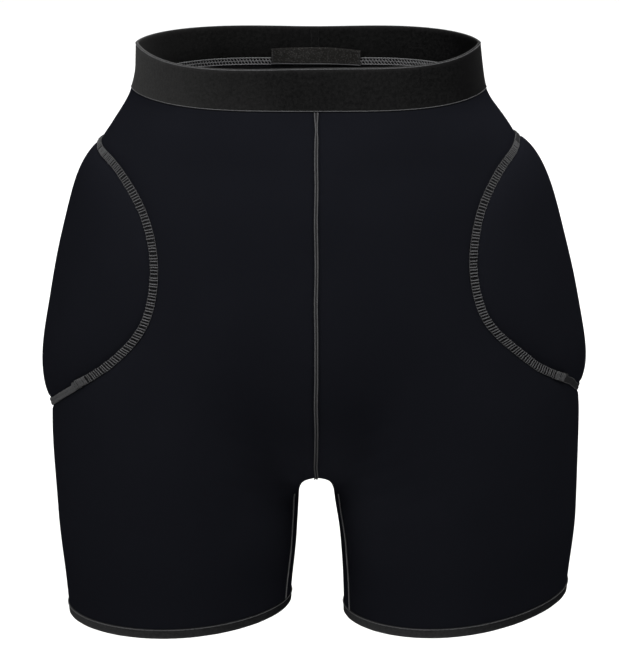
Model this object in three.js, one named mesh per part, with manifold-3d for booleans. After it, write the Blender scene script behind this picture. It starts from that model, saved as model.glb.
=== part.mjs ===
// Padded protective shorts, worn shape, millimetres, +Z up, front towards -Y.
// Left and right are the wearer's: left is +X.
// The origin is the centre of the waist, half way up the waistband.
//
// One smooth body form is worked out from two short tables of sections. Every piece is a wall that lies
// between two offsets of that form: the two leg panels, the waistband, the hem bands, the domed hip covers
// with their foam pads, the raised flatlock seams and the woven tab inside the back of the waistband.
import * as THREE from "three";
import { mergeVertices } from "three/addons/utils/BufferGeometryUtils.js";
import Module from "manifold-3d";

const wasm = await Module();
wasm.setup();

// Cloth and trim sizes
const WALL = 1.6; // stretch cloth of the panels and hip covers
const BAND_WALL = 2.2; // woven elastic
const BAND_PROUD = 0.4; // the elastic stands this far out from the panels
const HEM_WALL = 2.4; // folded hem binding
const HEM_PROUD = 0.5;
const HEM_HEIGHT = 7.2;
const GAP = 0.3; // between pieces that are sewn together
const SEAM_GAP = 0.8; // under a raised seam, so that it clears the facets below it
const SEAM_THICK = 0.8;
const HIP_SEAM_WIDTH = 6;
const CENTRE_SEAM_WIDTH = 3.4;
const INSEAM_WIDTH = 2.4;
const INSEAM_ANGLE = -162; // a little in front of the innermost line of the leg
const INSEAM_START = 7; // below the fork

// Waistband
const BAND_TOP = 16.5; // at the sides
const BAND_BOTTOM = -17;
const RIM_DROP_FRONT = 2.2; // the top edge dips at the front and the back
const RIM_DROP_BACK = 2.6;
const RIM_QUARTER = 1.7; // and a little more between the front and the sides
const RIM_LEAN = 0.9; // less so on the left, more so on the right
const WAIST_SEAM_TOP = -9.9; // zigzag seam inside the waistband
const WAIST_SEAM_BOTTOM = -15.9;
const TAB_WIDTH = 66; // woven tab inside the back
const TAB_TOP = -1.6;
const TAB_BOTTOM = -14.6;
const TAB_THICK = 0.7;

// Outer sections of the whole body, from the rim down to below the hems.
// left, right: half widths. front, back: half depths at the middle.
// flat, full: 2 and 2 make an ellipse. More flat levels the front and the back, and less full draws the sides
// out towards an edge, as on a waistband.
// hollow: how far the middle of the back is drawn in, between the loins and then between the seat cheeks.
const SECTIONS = [
  { z: 17, left: 119, right: 130.6, front: 97.5, back: 86, flat: 3.6, full: 1.5, hollow: 4 },
  { z: 0, left: 120.6, right: 130.8, front: 98, back: 87, flat: 3.6, full: 1.5, hollow: 4 },
  { z: -17, left: 123.7, right: 134.3, front: 99.5, back: 91, flat: 3.6, full: 1.5, hollow: 4 },
  { z: -44, left: 141, right: 148.8, front: 105, back: 100, flat: 2.7, full: 2.1, hollow: 5 },
  { z: -62, left: 152.5, right: 160, front: 108, back: 106, flat: 2.3, full: 2.3, hollow: 5 },
  { z: -98, left: 165.5, right: 170.5, front: 113, back: 119, flat: 2.3, full: 2.3, hollow: 6 },
  { z: -170, left: 182.7, right: 186, front: 115, back: 132, flat: 2.3, full: 2.3, hollow: 8 },
  { z: -224, left: 191.4, right: 193.2, front: 111.5, back: 131, flat: 2.3, full: 2.3, hollow: 10 },
  { z: -260, left: 193.6, right: 194, front: 107, back: 125, flat: 2.3, full: 2.3, hollow: 10 },
  { z: -333, left: 192, right: 190.7, front: 98, back: 108, flat: 2.3, full: 2.3, hollow: 8 },
  { z: -389, left: 186.4, right: 185, front: 92, back: 100, flat: 2.3, full: 2.3, hollow: 8 },
  { z: -425, left: 182.8, right: 181.5, front: 90, back: 98, flat: 2.3, full: 2.3, hollow: 8 },
];

// Thigh sections. insideLeft, insideRight: from the middle plane to the inner side of each thigh.
// square: 2 is an ellipse, more is squarer.
const THIGHS = [
  { z: -200, insideLeft: 13, insideRight: 12, front: 112, back: 126, square: 2.05 },
  { z: -312, insideLeft: 13, insideRight: 12.4, front: 98, back: 108, square: 2.05 },
  { z: -352, insideLeft: 17.8, insideRight: 14, front: 94, back: 101, square: 2 },
  { z: -389, insideLeft: 20.2, insideRight: 17.8, front: 91, back: 97, square: 1.95 },
  { z: -425, insideLeft: 21.4, insideRight: 20.4, front: 90, back: 96, square: 1.95 },
];

// Crotch: the two thighs run into the seat between these heights
const FORK_Z = -320.5;
const SEAT_Z = -196;
const FORK_ROUND = 9; // height over which the fork's corners round off
const LEG_ROUND = 110; // the same out on the legs, where they run into the seat gently
const LEG_REACH = 70; // how far out that is reached
const FORK_BLEND = 22; // reach of the fillet between the thighs
const HOLLOW_WIDTH = 38;
const AXIS_REACH = 70; // height over which each half's axis moves out to its thigh

// Sides: hem heights at the outer, inner and front of each leg, and the hip covers' heights
const SIDES = {
  left: { sign: 1, hemOut: -394, hemIn: -411.5, hemFrontDip: 4, hipTop: -55.6, hipBottom: -242.3 },
  right: { sign: -1, hemOut: -410.5, hemIn: -402.5, hemFrontDip: 1.5, hipTop: -58.5, hipBottom: -254 },
};

// Hip covers: an oval round the hip, measured by its angle from the side line (to the front is minus)
const HIP_CENTRE = -4.7;
const HIP_REACH_FRONT = 47.4;
const HIP_REACH_BACK = 60;
const HIP_TILT = 2.3; // the top leans forward and the bottom back by this angle
const HIP_BOW = 17.2; // the top and the bottom both lie this far behind the middle
const HIP_SQUARE_TOP = 5.7; // fullness of the front's upper corner: 2 is an ellipse, more is fuller
const HIP_SQUARE_LOW = 2.5;
const HIP_SQUARE_BACK = 2.1;
const HIP_DOME = 9; // the pad lifts the cover by this much
const HIP_DOME_EDGE = 6.5; // higher is flatter on top, with a steeper edge
const PAD_REACH = 0.93; // share of the oval that the foam fills

// Faceting
const PANEL_COLUMNS = 26;
const COLUMN_SPREAD = 0.3; // columns crowd a little towards the seams at both ends
const BAND_COLUMNS = 24; // for each half
const HEM_COLUMNS = 30;
const HIP_SPOKES = 40;
const HIP_RINGS = [1, PAD_REACH, 0.78, 0.45];
// Heights above and below the fork, close together where the form turns
const ROWS_ABOVE = [280, 256, 230, 204, 178, 152, 126, 102, 81, 62, 46, 32, 20, 11, 5, 1.8];
const ROWS_BELOW = [1.2, 3.5, 8, 16, 30, 50, 74];

const RAD = Math.PI / 180;
const SAME_POINT = 1e-4; // points closer than this are one point
const HALVINGS = 44; // steps of a root search

// Shape-preserving cubic through one column of a table, at height z
const slopes = new Map();
function columnSlopes(table, name) {
  const key = `${table[0].z}:${table.length}:${name}`;
  if (slopes.has(key)) return slopes.get(key);
  const rise = table.slice(1).map((row, i) => (row[name] - table[i][name]) / (row.z - table[i].z));
  const made = table.map((row, i) => {
    if (i === 0) return rise[0];
    if (i === table.length - 1) return rise[i - 1];
    return rise[i - 1] * rise[i] <= 0 ? 0 : (2 * rise[i - 1] * rise[i]) / (rise[i - 1] + rise[i]);
  });
  slopes.set(key, made);
  return made;
}
function column(table, name, z) {
  const slope = columnSlopes(table, name);
  const last = table.length - 1;
  if (z >= table[0].z) return table[0][name];
  if (z <= table[last].z) return table[last][name];
  const i = table.findIndex((row, k) => k < last && z <= row.z && z >= table[k + 1].z);
  const a = table[i];
  const b = table[i + 1];
  const h = b.z - a.z;
  const t = (z - a.z) / h;
  const t2 = t * t;
  const t3 = t2 * t;
  return (
    (2 * t3 - 3 * t2 + 1) * a[name] +
    (t3 - 2 * t2 + t) * h * slope[i] +
    (3 * t2 - 2 * t3) * b[name] +
    (t3 - t2) * h * slope[i + 1]
  );
}

function clamp01(t) {
  return Math.min(1, Math.max(0, t));
}
function smooth(t) {
  const c = clamp01(t);
  return c * c * (3 - 2 * c);
}

// How far a point lies outside an oval of about the given size: negative inside, smooth through its middle
function ovalField(u, v, halfU, halfV, flat, full, size) {
  const reach = (Math.abs(u / halfU) ** flat + Math.abs(v / halfV) ** full) ** (2 / (flat + full));
  return ((reach * reach - 1) * size) / 2;
}

function torsoField(x, y, z) {
  const halfX = column(SECTIONS, x > 0 ? "left" : "right", z);
  const back = column(SECTIONS, "back", z);
  const front = column(SECTIONS, "front", z);
  const drawn = column(SECTIONS, "hollow", z) * Math.exp(-((x / HOLLOW_WIDTH) ** 2));
  const pushed = y > 0 ? y + drawn * clamp01(y / back) : y;
  const flat = column(SECTIONS, "flat", z);
  const full = column(SECTIONS, "full", z);
  return ovalField(x, pushed, halfX, y > 0 ? back : front, flat, full, (front + back) / 2);
}

function thighMiddle(side, z) {
  const outside = column(SECTIONS, side.sign > 0 ? "left" : "right", z);
  const inside = column(THIGHS, side.sign > 0 ? "insideLeft" : "insideRight", z);
  return { middle: (outside + inside) / 2, half: (outside - inside) / 2 };
}
function thighField(side, x, y, z) {
  const { middle, half } = thighMiddle(side, z);
  const halfY = column(THIGHS, y > 0 ? "back" : "front", z);
  const square = column(THIGHS, "square", z);
  return ovalField(x * side.sign - middle, y, half, halfY, square, square, half);
}

// 0 in the legs, 1 in the seat: starts softly at the fork and eases out at the top
function seatShare(x, z) {
  const up = z - FORK_Z;
  if (up <= 0) return 0;
  const round = FORK_ROUND + (LEG_ROUND - FORK_ROUND) * smooth(Math.abs(x) / LEG_REACH);
  const rounded = up < round ? (up * up) / (2 * round) : up - round / 2;
  const t = clamp01(rounded / (SEAT_Z - FORK_Z));
  return 1 - (1 - t) ** 2;
}

// The body form: zero on its outer surface, negative inside
function bodyField(x, y, z) {
  const share = seatShare(x, z);
  const torso = share > 0 ? torsoField(x, y, z) : 0;
  if (share >= 1) return torso;
  const a = thighField(SIDES.left, x, y, z);
  const b = thighField(SIDES.right, x, y, z);
  const near = Math.max(FORK_BLEND - Math.abs(a - b), 0) / FORK_BLEND;
  const thighs = Math.min(a, b) - (near * near * FORK_BLEND) / 4;
  return (1 - share) * thighs + share * torso;
}

function bodyNormal(p) {
  const e = 0.05;
  return new THREE.Vector3(
    bodyField(p.x + e, p.y, p.z) - bodyField(p.x - e, p.y, p.z),
    bodyField(p.x, p.y + e, p.z) - bodyField(p.x, p.y - e, p.z),
    bodyField(p.x, p.y, p.z + e) - bodyField(p.x, p.y, p.z - e),
  ).normalize();
}

function root(f, inside, outside) {
  let a = inside;
  let b = outside;
  for (let i = 0; i < HALVINGS; i += 1) {
    const m = (a + b) / 2;
    if (f(m) < 0) a = m;
    else b = m;
  }
  return (a + b) / 2;
}

// Height of the fork on the middle plane
const CROTCH_Z = root((z) => bodyField(0, 0, z), -250, FORK_Z);

// Each half is seen from an axis that moves from the middle plane out to the middle of the thigh
function axisX(side, z) {
  const { middle } = thighMiddle(side, z);
  return middle * (1 - smooth((z - CROTCH_Z) / AXIS_REACH));
}
function halfSizes(side, z) {
  const outside = column(SECTIONS, side.sign > 0 ? "left" : "right", z);
  return {
    across: outside - axisX(side, z),
    front: column(SECTIONS, "front", z),
    back: column(SECTIONS, "back", z),
  };
}

// The point of the body form at an angle from the side line: minus to the front, plus to the back
function bodyPoint(side, angle, z) {
  const { across, front, back } = halfSizes(side, z);
  const dx = Math.cos(angle) * across * side.sign;
  const dy = Math.sin(angle) * (angle < 0 ? front : back);
  const x0 = axisX(side, z) * side.sign;
  // Neither half reaches past the middle plane
  const field = (r) => ((x0 + r * dx) * side.sign < 0 ? 1 : bodyField(x0 + r * dx, r * dy, z));
  const reach = root(field, 0, 3);
  return new THREE.Vector3(x0 + reach * dx, reach * dy, z);
}
function offsetPoint(p, offset) {
  return p.clone().addScaledVector(bodyNormal(p), offset);
}

// The angles at which a half meets the middle plane, or a whole turn below the fork
function seamAngles(side, z) {
  if (z <= CROTCH_Z) return [-Math.PI, Math.PI];
  const plane = GAP / 2;
  const { across, front, back } = halfSizes(side, z);
  const yFront = root((r) => bodyField(plane * side.sign, -r, z), 0, 300);
  const yBack = root((r) => bodyField(plane * side.sign, r, z), 0, 300);
  const inward = (plane - axisX(side, z)) / across;
  return [Math.atan2(-yFront / front, inward), Math.atan2(yBack / back, inward)];
}

function hemHeight(side, angle) {
  const across = (side.hemOut + side.hemIn) / 2 + ((side.hemOut - side.hemIn) / 2) * Math.cos(angle);
  return across - (angle < 0 ? side.hemFrontDip * Math.sin(angle) ** 2 : 0);
}
function rimHeight(angle, side) {
  if (angle >= 0) return BAND_TOP - RIM_DROP_BACK * Math.sin(angle) ** 2;
  const quarter = Math.sin(2 * angle);
  const dip = RIM_DROP_FRONT * Math.sin(angle) ** 2 + RIM_QUARTER * quarter ** 2;
  return BAND_TOP - dip + side.sign * RIM_LEAN * Math.abs(quarter);
}

// Collects points and faces of one closed solid
class Skin {
  constructor() {
    this.points = [];
    this.faces = [];
  }
  add(p) {
    return this.points.push(p) - 1;
  }
  quad(a, b, c, d) {
    this.faces.push([a, b, c], [a, c, d]);
  }
  // turned: true where the faces were wound the other way, as on the mirrored side
  solid(turned) {
    const triVerts = this.faces.flatMap(([a, b, c]) => (turned ? [a, c, b] : [a, b, c]));
    const geometry = new THREE.BufferGeometry();
    geometry.setAttribute(
      "position",
      new THREE.Float32BufferAttribute(this.points.flatMap((p) => p.toArray()), 3),
    );
    geometry.setIndex(triVerts);
    const merged = mergeVertices(geometry, SAME_POINT);
    const kept = [];
    for (let i = 0; i < merged.index.count; i += 3) {
      const t = [0, 1, 2].map((k) => merged.index.getX(i + k));
      if (new Set(t).size === 3) kept.push(...t);
    }
    return new wasm.Manifold(
      new wasm.Mesh({
        numProp: 3,
        vertProperties: merged.attributes.position.array,
        triVerts: new Uint32Array(kept),
      }),
    );
  }
}

// A closed solid between an outer and an inner grid of points. Rows may close on themselves.
function wall(outer, inner, turned) {
  const skin = new Skin();
  const place = (grid) => grid.map((row) => row.map((p) => skin.add(p)));
  const o = place(outer);
  const n = place(inner);
  const rows = o.length - 1;
  const columns = o[0].length - 1;
  const closed = (row) => row[0].distanceTo(row[columns]) < SAME_POINT;
  for (let j = 0; j < rows; j += 1) {
    for (let i = 0; i < columns; i += 1) {
      skin.quad(o[j][i], o[j + 1][i], o[j + 1][i + 1], o[j][i + 1]);
      skin.quad(n[j][i], n[j][i + 1], n[j + 1][i + 1], n[j + 1][i]);
    }
    if (!closed(outer[j]) || !closed(outer[j + 1])) {
      skin.quad(o[j][0], n[j][0], n[j + 1][0], o[j + 1][0]);
      skin.quad(o[j][columns], o[j + 1][columns], n[j + 1][columns], n[j][columns]);
    }
  }
  for (let i = 0; i < columns; i += 1) {
    skin.quad(o[0][i], o[0][i + 1], n[0][i + 1], n[0][i]);
    skin.quad(o[rows][i], n[rows][i], n[rows][i + 1], o[rows][i + 1]);
  }
  return skin.solid(turned);
}

// Leg panel, before the hip is cut out: from the waistband down to the hem band, round the thigh
function panelSolid(side) {
  const heights = [...ROWS_ABOVE.map((h) => CROTCH_Z + h), CROTCH_Z, ...ROWS_BELOW.map((h) => CROTCH_Z - h)];
  const lowest = CROTCH_Z - ROWS_BELOW[ROWS_BELOW.length - 1];
  const top = BAND_BOTTOM - GAP;
  const outer = [];
  const inner = [];
  const addRow = (heightAt, z) => {
    const [from, to] = seamAngles(side, z);
    const row = [];
    const rowIn = [];
    for (let i = 0; i <= PANEL_COLUMNS; i += 1) {
      const u = i / PANEL_COLUMNS;
      const angle = from + (to - from) * (u - (COLUMN_SPREAD * Math.sin(2 * Math.PI * u)) / (2 * Math.PI));
      const p = bodyPoint(side, angle, heightAt(angle));
      const n = bodyNormal(p);
      if (z >= CROTCH_Z && (i === 0 || i === PANEL_COLUMNS)) {
        p.x = (GAP / 2) * side.sign;
        n.x = 0;
        n.normalize();
      }
      row.push(p);
      rowIn.push(p.clone().addScaledVector(n, -WALL));
    }
    if (z <= CROTCH_Z) {
      row[PANEL_COLUMNS] = row[0];
      rowIn[PANEL_COLUMNS] = rowIn[0];
    }
    outer.push(row);
    inner.push(rowIn);
  };
  addRow(() => top, top);
  heights.forEach((z) => addRow(() => z, z));
  const hemTop = (angle) => hemHeight(side, angle) + HEM_HEIGHT + GAP;
  addRow((angle) => (lowest + hemTop(angle)) / 2, lowest - 1);
  addRow(hemTop, lowest - 2);
  return wall(outer, inner, side.sign < 0);
}

function hemSolid(side) {
  const rings = [HEM_HEIGHT, 0].map((up) =>
    [HEM_PROUD, HEM_PROUD - HEM_WALL].map((offset) => {
      const ring = [];
      for (let i = 0; i < HEM_COLUMNS; i += 1) {
        const angle = -Math.PI + (2 * Math.PI * i) / HEM_COLUMNS;
        ring.push(offsetPoint(bodyPoint(side, angle, hemHeight(side, angle) + up), offset));
      }
      return [...ring, ring[0]];
    }),
  );
  return wall(
    rings.map((r) => r[0]),
    rings.map((r) => r[1]),
    side.sign < 0,
  );
}

// Points round the waist at one height and offset: left half from front to back, then right half back again
function waistRing(heightAt, offset) {
  const ring = [];
  for (const side of [SIDES.left, SIDES.right]) {
    for (let i = 0; i < BAND_COLUMNS; i += 1) {
      const turn = -Math.PI / 2 + (Math.PI * i) / BAND_COLUMNS;
      const angle = side.sign > 0 ? turn : -turn;
      const p = bodyPoint(side, angle, heightAt(angle, side));
      const n = bodyNormal(p);
      n.z = 0;
      ring.push(p.addScaledVector(n.normalize(), offset));
    }
  }
  return [...ring, ring[0]];
}
function waistBandSolid(levels, outerOffset, thick) {
  return wall(
    levels.map((level) => waistRing(level, outerOffset)),
    levels.map((level) => waistRing(level, outerOffset - thick)),
    false,
  );
}

// The flat tab lies on the waist seam, inside the middle of the back
function tabSolid() {
  const steps = 8;
  const inside = BAND_PROUD - BAND_WALL - GAP - SEAM_THICK - SEAM_GAP;
  const rows = [TAB_TOP, TAB_BOTTOM].map((z) => {
    const back = [];
    const front = [];
    for (let i = 0; i <= steps; i += 1) {
      const x = -TAB_WIDTH / 2 + (TAB_WIDTH * i) / steps;
      const y = root((r) => bodyField(x, r, z), 0, 300);
      const p = new THREE.Vector3(x, y, z);
      const n = bodyNormal(p);
      n.z = 0;
      n.normalize();
      back.push(p.clone().addScaledVector(n, inside));
      front.push(p.clone().addScaledVector(n, inside - TAB_THICK));
    }
    return { back, front };
  });
  return wall(
    rows.map((r) => r.back),
    rows.map((r) => r.front),
    true,
  );
}

// A place on the hip: turn runs round the oval and share out from its middle to its edge and past it
function hipPlace(side, turn, share) {
  const middle = (side.hipTop + side.hipBottom) / 2;
  const half = (side.hipTop - side.hipBottom) / 2;
  const front = Math.cos(turn) < 0;
  const frontSquare = Math.sin(turn) > 0 ? HIP_SQUARE_TOP : HIP_SQUARE_LOW;
  const square = front ? frontSquare : HIP_SQUARE_BACK;
  const bulk = Math.abs(Math.cos(turn)) ** square + Math.abs(Math.sin(turn)) ** square;
  const out = share * bulk ** (-1 / square);
  const across = out * Math.cos(turn) * (front ? HIP_REACH_FRONT : HIP_REACH_BACK);
  const up = out * Math.sin(turn);
  const angle = HIP_CENTRE + across - HIP_TILT * up + HIP_BOW * up * up;
  return bodyPoint(side, angle * RAD, middle + half * up);
}
function hipDome(share) {
  return share >= 1 ? 0 : HIP_DOME * (1 - share ** HIP_DOME_EDGE);
}

// The share of the oval at a distance outside its edge, square to the edge
function hipShare(side, turn, distance) {
  const step = 0.01;
  const out = hipPlace(side, turn, 1 + step).sub(hipPlace(side, turn, 1 - step)).divideScalar(2 * step);
  const along = hipPlace(side, turn + step, 1).sub(hipPlace(side, turn - step, 1)).normalize();
  return 1 + distance / out.addScaledVector(along, -out.dot(along)).length();
}

// A domed patch of the hip between two offsets, each a function of the share.
// wider: the first ring lies this far outside the oval's edge.
function hipPatch(side, shares, outerOffset, innerOffset, wider = 0) {
  const skin = new Skin();
  const layer = (offset) => ({
    rings: shares.map((share) =>
      Array.from({ length: HIP_SPOKES }, (_, i) => {
        const turn = (2 * Math.PI * i) / HIP_SPOKES;
        const p = hipPlace(side, turn, wider && share === 1 ? hipShare(side, turn, wider) : share);
        return skin.add(offsetPoint(p, offset(share)));
      }),
    ),
    middle: skin.add(offsetPoint(hipPlace(side, 0, 0), offset(0))),
  });
  const o = layer(outerOffset);
  const n = layer(innerOffset);
  const last = shares.length - 1;
  for (let i = 0; i < HIP_SPOKES; i += 1) {
    const k = (i + 1) % HIP_SPOKES;
    for (let j = 0; j < last; j += 1) {
      skin.quad(o.rings[j][i], o.rings[j][k], o.rings[j + 1][k], o.rings[j + 1][i]);
      skin.quad(n.rings[j][i], n.rings[j + 1][i], n.rings[j + 1][k], n.rings[j][k]);
    }
    skin.faces.push([o.rings[last][i], o.rings[last][k], o.middle]);
    skin.faces.push([n.rings[last][i], n.middle, n.rings[last][k]]);
    skin.quad(o.rings[0][i], n.rings[0][i], n.rings[0][k], o.rings[0][k]);
  }
  return skin.solid(side.sign < 0);
}

function hipSeamSolid(side) {
  const layer = (lift) =>
    [HIP_SEAM_WIDTH / 2, 0, -HIP_SEAM_WIDTH / 2].map((distance) => {
      const ring = [];
      for (let i = 0; i < HIP_SPOKES; i += 1) {
        const turn = (2 * Math.PI * i) / HIP_SPOKES;
        const share = hipShare(side, turn, distance);
        ring.push(offsetPoint(hipPlace(side, turn, share), hipDome(share) + lift));
      }
      return [...ring, ring[0]];
    });
  return wall(layer(SEAM_GAP + SEAM_THICK), layer(SEAM_GAP), side.sign > 0);
}

// A raised strip between two rows of points on the form, lifted along the given normals
function stripSolid(edges, normalAt) {
  const layer = (lift) => edges.map((edge) => edge.map((p) => p.clone().addScaledVector(normalAt(p), lift)));
  return wall(layer(SEAM_GAP + SEAM_THICK), layer(SEAM_GAP), false);
}

// Front middle, under the fork and up the back, one strip from waistband to waistband
function centreSeamSolid() {
  const heights = [BAND_BOTTOM - GAP, ...ROWS_ABOVE.map((h) => CROTCH_Z + h)];
  const edges = [CENTRE_SEAM_WIDTH / 2, -CENTRE_SEAM_WIDTH / 2].map((x) => {
    const depthAt = (z, sign) => root((r) => bodyField(x, r * sign, z), 0, 300);
    const pointAt = (z, sign) => new THREE.Vector3(x, sign * depthAt(z, sign), z);
    const front = heights.map((z) => pointAt(z, -1));
    const back = heights.map((z) => pointAt(z, 1)).reverse();
    const fork = new THREE.Vector3(x, 0, root((z) => bodyField(x, 0, z), -250, FORK_Z - 20));
    return [...front, fork, ...back];
  });
  return stripSolid(edges, (p) => bodyNormal(p).setX(0).normalize());
}

// Inside leg, from under the fork down to the hem
function inseamSolid(side) {
  const steps = 12;
  const middle = INSEAM_ANGLE * RAD;
  const top = CROTCH_Z - INSEAM_START;
  const edges = [1, -1].map((way) => {
    const edge = [];
    for (let i = 0; i <= steps; i += 1) {
      const lean = (way * side.sign * (INSEAM_WIDTH / 2)) / column(THIGHS, "front", top);
      const bottom = hemHeight(side, middle + lean) + HEM_HEIGHT + GAP;
      edge.push(bodyPoint(side, middle + lean, top + ((bottom - top) * i) / steps));
    }
    return edge;
  });
  return stripSolid(edges, bodyNormal);
}

// Finishes
function finish(color, roughness) {
  return new THREE.MeshStandardMaterial({ color, roughness, metalness: 0 });
}
const STRETCH_CLOTH = finish(0x16171b, 0.9);
const ELASTIC = finish(0x1d1d1d, 0.85);
const FOAM = finish(0x2a2b2f, 0.95);
const THREAD = finish(0x454547, 0.8);
const WOVEN_TAB = finish(0x242322, 0.85);

const shorts = new THREE.Group();
function addPiece(name, solid, material) {
  const { vertProperties, triVerts, numProp } = solid.getMesh();
  const positions = new Float32Array((vertProperties.length / numProp) * 3);
  for (let i = 0; i < positions.length / 3; i += 1) {
    for (let k = 0; k < 3; k += 1) positions[3 * i + k] = vertProperties[numProp * i + k];
  }
  const geometry = new THREE.BufferGeometry();
  geometry.setAttribute("position", new THREE.BufferAttribute(positions, 3));
  geometry.setIndex(Array.from(triVerts));
  geometry.computeVertexNormals();
  const mesh = new THREE.Mesh(geometry, material);
  mesh.name = name;
  shorts.add(mesh);
}

addPiece(
  "waistband",
  waistBandSolid([rimHeight, () => 0, () => BAND_BOTTOM], BAND_PROUD, BAND_WALL),
  ELASTIC,
);
addPiece(
  "waist_seam",
  waistBandSolid([() => WAIST_SEAM_TOP, () => WAIST_SEAM_BOTTOM], BAND_PROUD - BAND_WALL - GAP, SEAM_THICK),
  THREAD,
);
addPiece("inner_tab", tabSolid(), WOVEN_TAB);
addPiece("centre_seam", centreSeamSolid(), THREAD);
for (const [name, side] of Object.entries(SIDES)) {
  const reach = 6; // the hip is cut out this far above and below the cloth
  const cut = hipPatch(
    side,
    [1, 0.7, 0.35],
    () => reach,
    () => -reach,
    GAP,
  );
  addPiece(`leg_panel_${name}`, panelSolid(side).subtract(cut), STRETCH_CLOTH);
  addPiece(
    `hip_cover_${name}`,
    hipPatch(side, HIP_RINGS, hipDome, (share) => hipDome(share) - WALL),
    STRETCH_CLOTH,
  );
  addPiece(
    `hip_pad_${name}`,
    hipPatch(
      side,
      HIP_RINGS.filter((share) => share < 1),
      (share) => hipDome(share) - WALL - GAP,
      () => -WALL,
    ),
    FOAM,
  );
  addPiece(`hip_seam_${name}`, hipSeamSolid(side), THREAD);
  addPiece(`inseam_${name}`, inseamSolid(side), THREAD);
  addPiece(`hem_band_${name}`, hemSolid(side), ELASTIC);
}

export default shorts;
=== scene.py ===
"""Looks of a pair of padded protective shorts, kept in the shape that they have when worn.

Sizes are in millimetres and finished meshes in metres. +Z is up and the front faces -Y. Left and right are
the wearer's: left is +X. One smooth body form carries every piece: two leg panels, the waistband, the hems,
a domed cover and a foam pad at each hip, and the sewn seams that join them.
"""

from __future__ import annotations

import logging
import math
from abc import ABC, abstractmethod
from collections.abc import Callable
from dataclasses import dataclass, replace
from enum import Enum, IntEnum
from functools import cached_property
from typing import ClassVar

import bmesh
import bpy
import numpy as np
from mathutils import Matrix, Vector

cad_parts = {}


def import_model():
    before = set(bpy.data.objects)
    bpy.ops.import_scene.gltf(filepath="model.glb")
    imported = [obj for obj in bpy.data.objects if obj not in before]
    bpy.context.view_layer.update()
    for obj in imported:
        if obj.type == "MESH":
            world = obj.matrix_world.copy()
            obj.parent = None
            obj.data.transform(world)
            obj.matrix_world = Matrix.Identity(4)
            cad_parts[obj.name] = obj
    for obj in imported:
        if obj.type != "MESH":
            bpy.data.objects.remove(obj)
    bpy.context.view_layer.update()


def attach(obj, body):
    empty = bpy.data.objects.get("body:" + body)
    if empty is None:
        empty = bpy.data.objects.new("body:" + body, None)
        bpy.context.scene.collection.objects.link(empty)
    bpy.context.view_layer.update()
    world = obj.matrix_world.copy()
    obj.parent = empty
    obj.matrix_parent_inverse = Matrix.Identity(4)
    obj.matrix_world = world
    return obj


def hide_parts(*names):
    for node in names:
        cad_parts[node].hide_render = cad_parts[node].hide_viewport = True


Array = np.ndarray
Socket = bpy.types.NodeSocket
SeamLine = Callable[[float], tuple[Array, Array]]

LOG = logging.getLogger("shorts")
MM = 0.001
GAP = 0.3
PANEL_TOP = -17.3
HEM_HEIGHT = 7.2
INWARD = (0.0, -1.0, 0.0)
HALVINGS = 34
FAR = 300.0
SHARP_ANGLE = 55
CLOTH_MAP = "Cloth"
WEAR_AND_LIGHT_LAYER = "wear_and_painted_light"


class Half(Enum):
    """The wearer's two halves."""

    LEFT = "left"
    RIGHT = "right"


class Hold(Enum):
    """How a cut of cloth is held on the finished shorts."""

    STRETCHED = "stretched"
    FOLDED = "folded"
    LAID = "laid"


class Coat(IntEnum):
    """Which of a piece's two finishes a face wears."""

    GROUND = 0
    THREAD = 1


class Bars(IntEnum):
    """How many half pitches lie between the thread bars that cross a seam."""

    NONE = 0
    DENSE = 1
    OPEN = 2
    SPARSE = 4


def smooth(t: Array) -> Array:
    """Eases from 0 to 1 while t goes from 0 to 1."""
    c = np.clip(t, 0.0, 1.0)
    return c * c * (3.0 - 2.0 * c)


def bump(x: Array, middle: float, spread: float) -> Array:
    """Gives a soft bump that is 1 at its middle and falls away over its spread."""
    return np.exp(-(((x - middle) / spread) ** 2))


def unit(vectors: Array) -> Array:
    """Gives the vectors a length of one."""
    return vectors / np.maximum(np.linalg.norm(vectors, axis=-1, keepdims=True), 1e-12)


def root(f: Callable[[Array], Array], inside: Array, outside: Array) -> Array:
    """Halves an interval until it closes on the place where f turns positive.

    Args:
        f: A function that is negative at inside and positive at outside.
        inside: Lower ends of the intervals.
        outside: Upper ends of the intervals.

    Returns:
        The places where f passes through zero.
    """
    for _ in range(HALVINGS):
        middle = (inside + outside) / 2
        below = f(middle) < 0
        inside = np.where(below, middle, inside)
        outside = np.where(below, outside, middle)
    return (inside + outside) / 2


def run_lengths(points: Array, closed: bool) -> Array:
    """Measures a line of points.

    Args:
        points: The line's points in order.
        closed: Whether the last point joins the first.

    Returns:
        The length at each point, and at the end the whole length where the line is closed.
    """
    line = np.concatenate([points, points[:1]]) if closed else points
    steps = np.linalg.norm(np.diff(line, axis=0), axis=1)
    return np.concatenate([[0.0], np.cumsum(steps)])


def cells(rows: int, columns: int) -> Array:
    """Numbers the corners of the faces of a grid whose points run along its rows."""
    first = (np.arange(rows - 1)[:, None] * columns + np.arange(columns - 1)).ravel()
    return np.stack([first, first + columns, first + columns + 1, first + 1], axis=1)


def cloth_places(across: Array, up: Array) -> Array:
    """Gives cloth coordinates in metres for places in millimetres."""
    return np.stack([across, up], axis=-1).reshape(-1, 2) * MM


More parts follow.
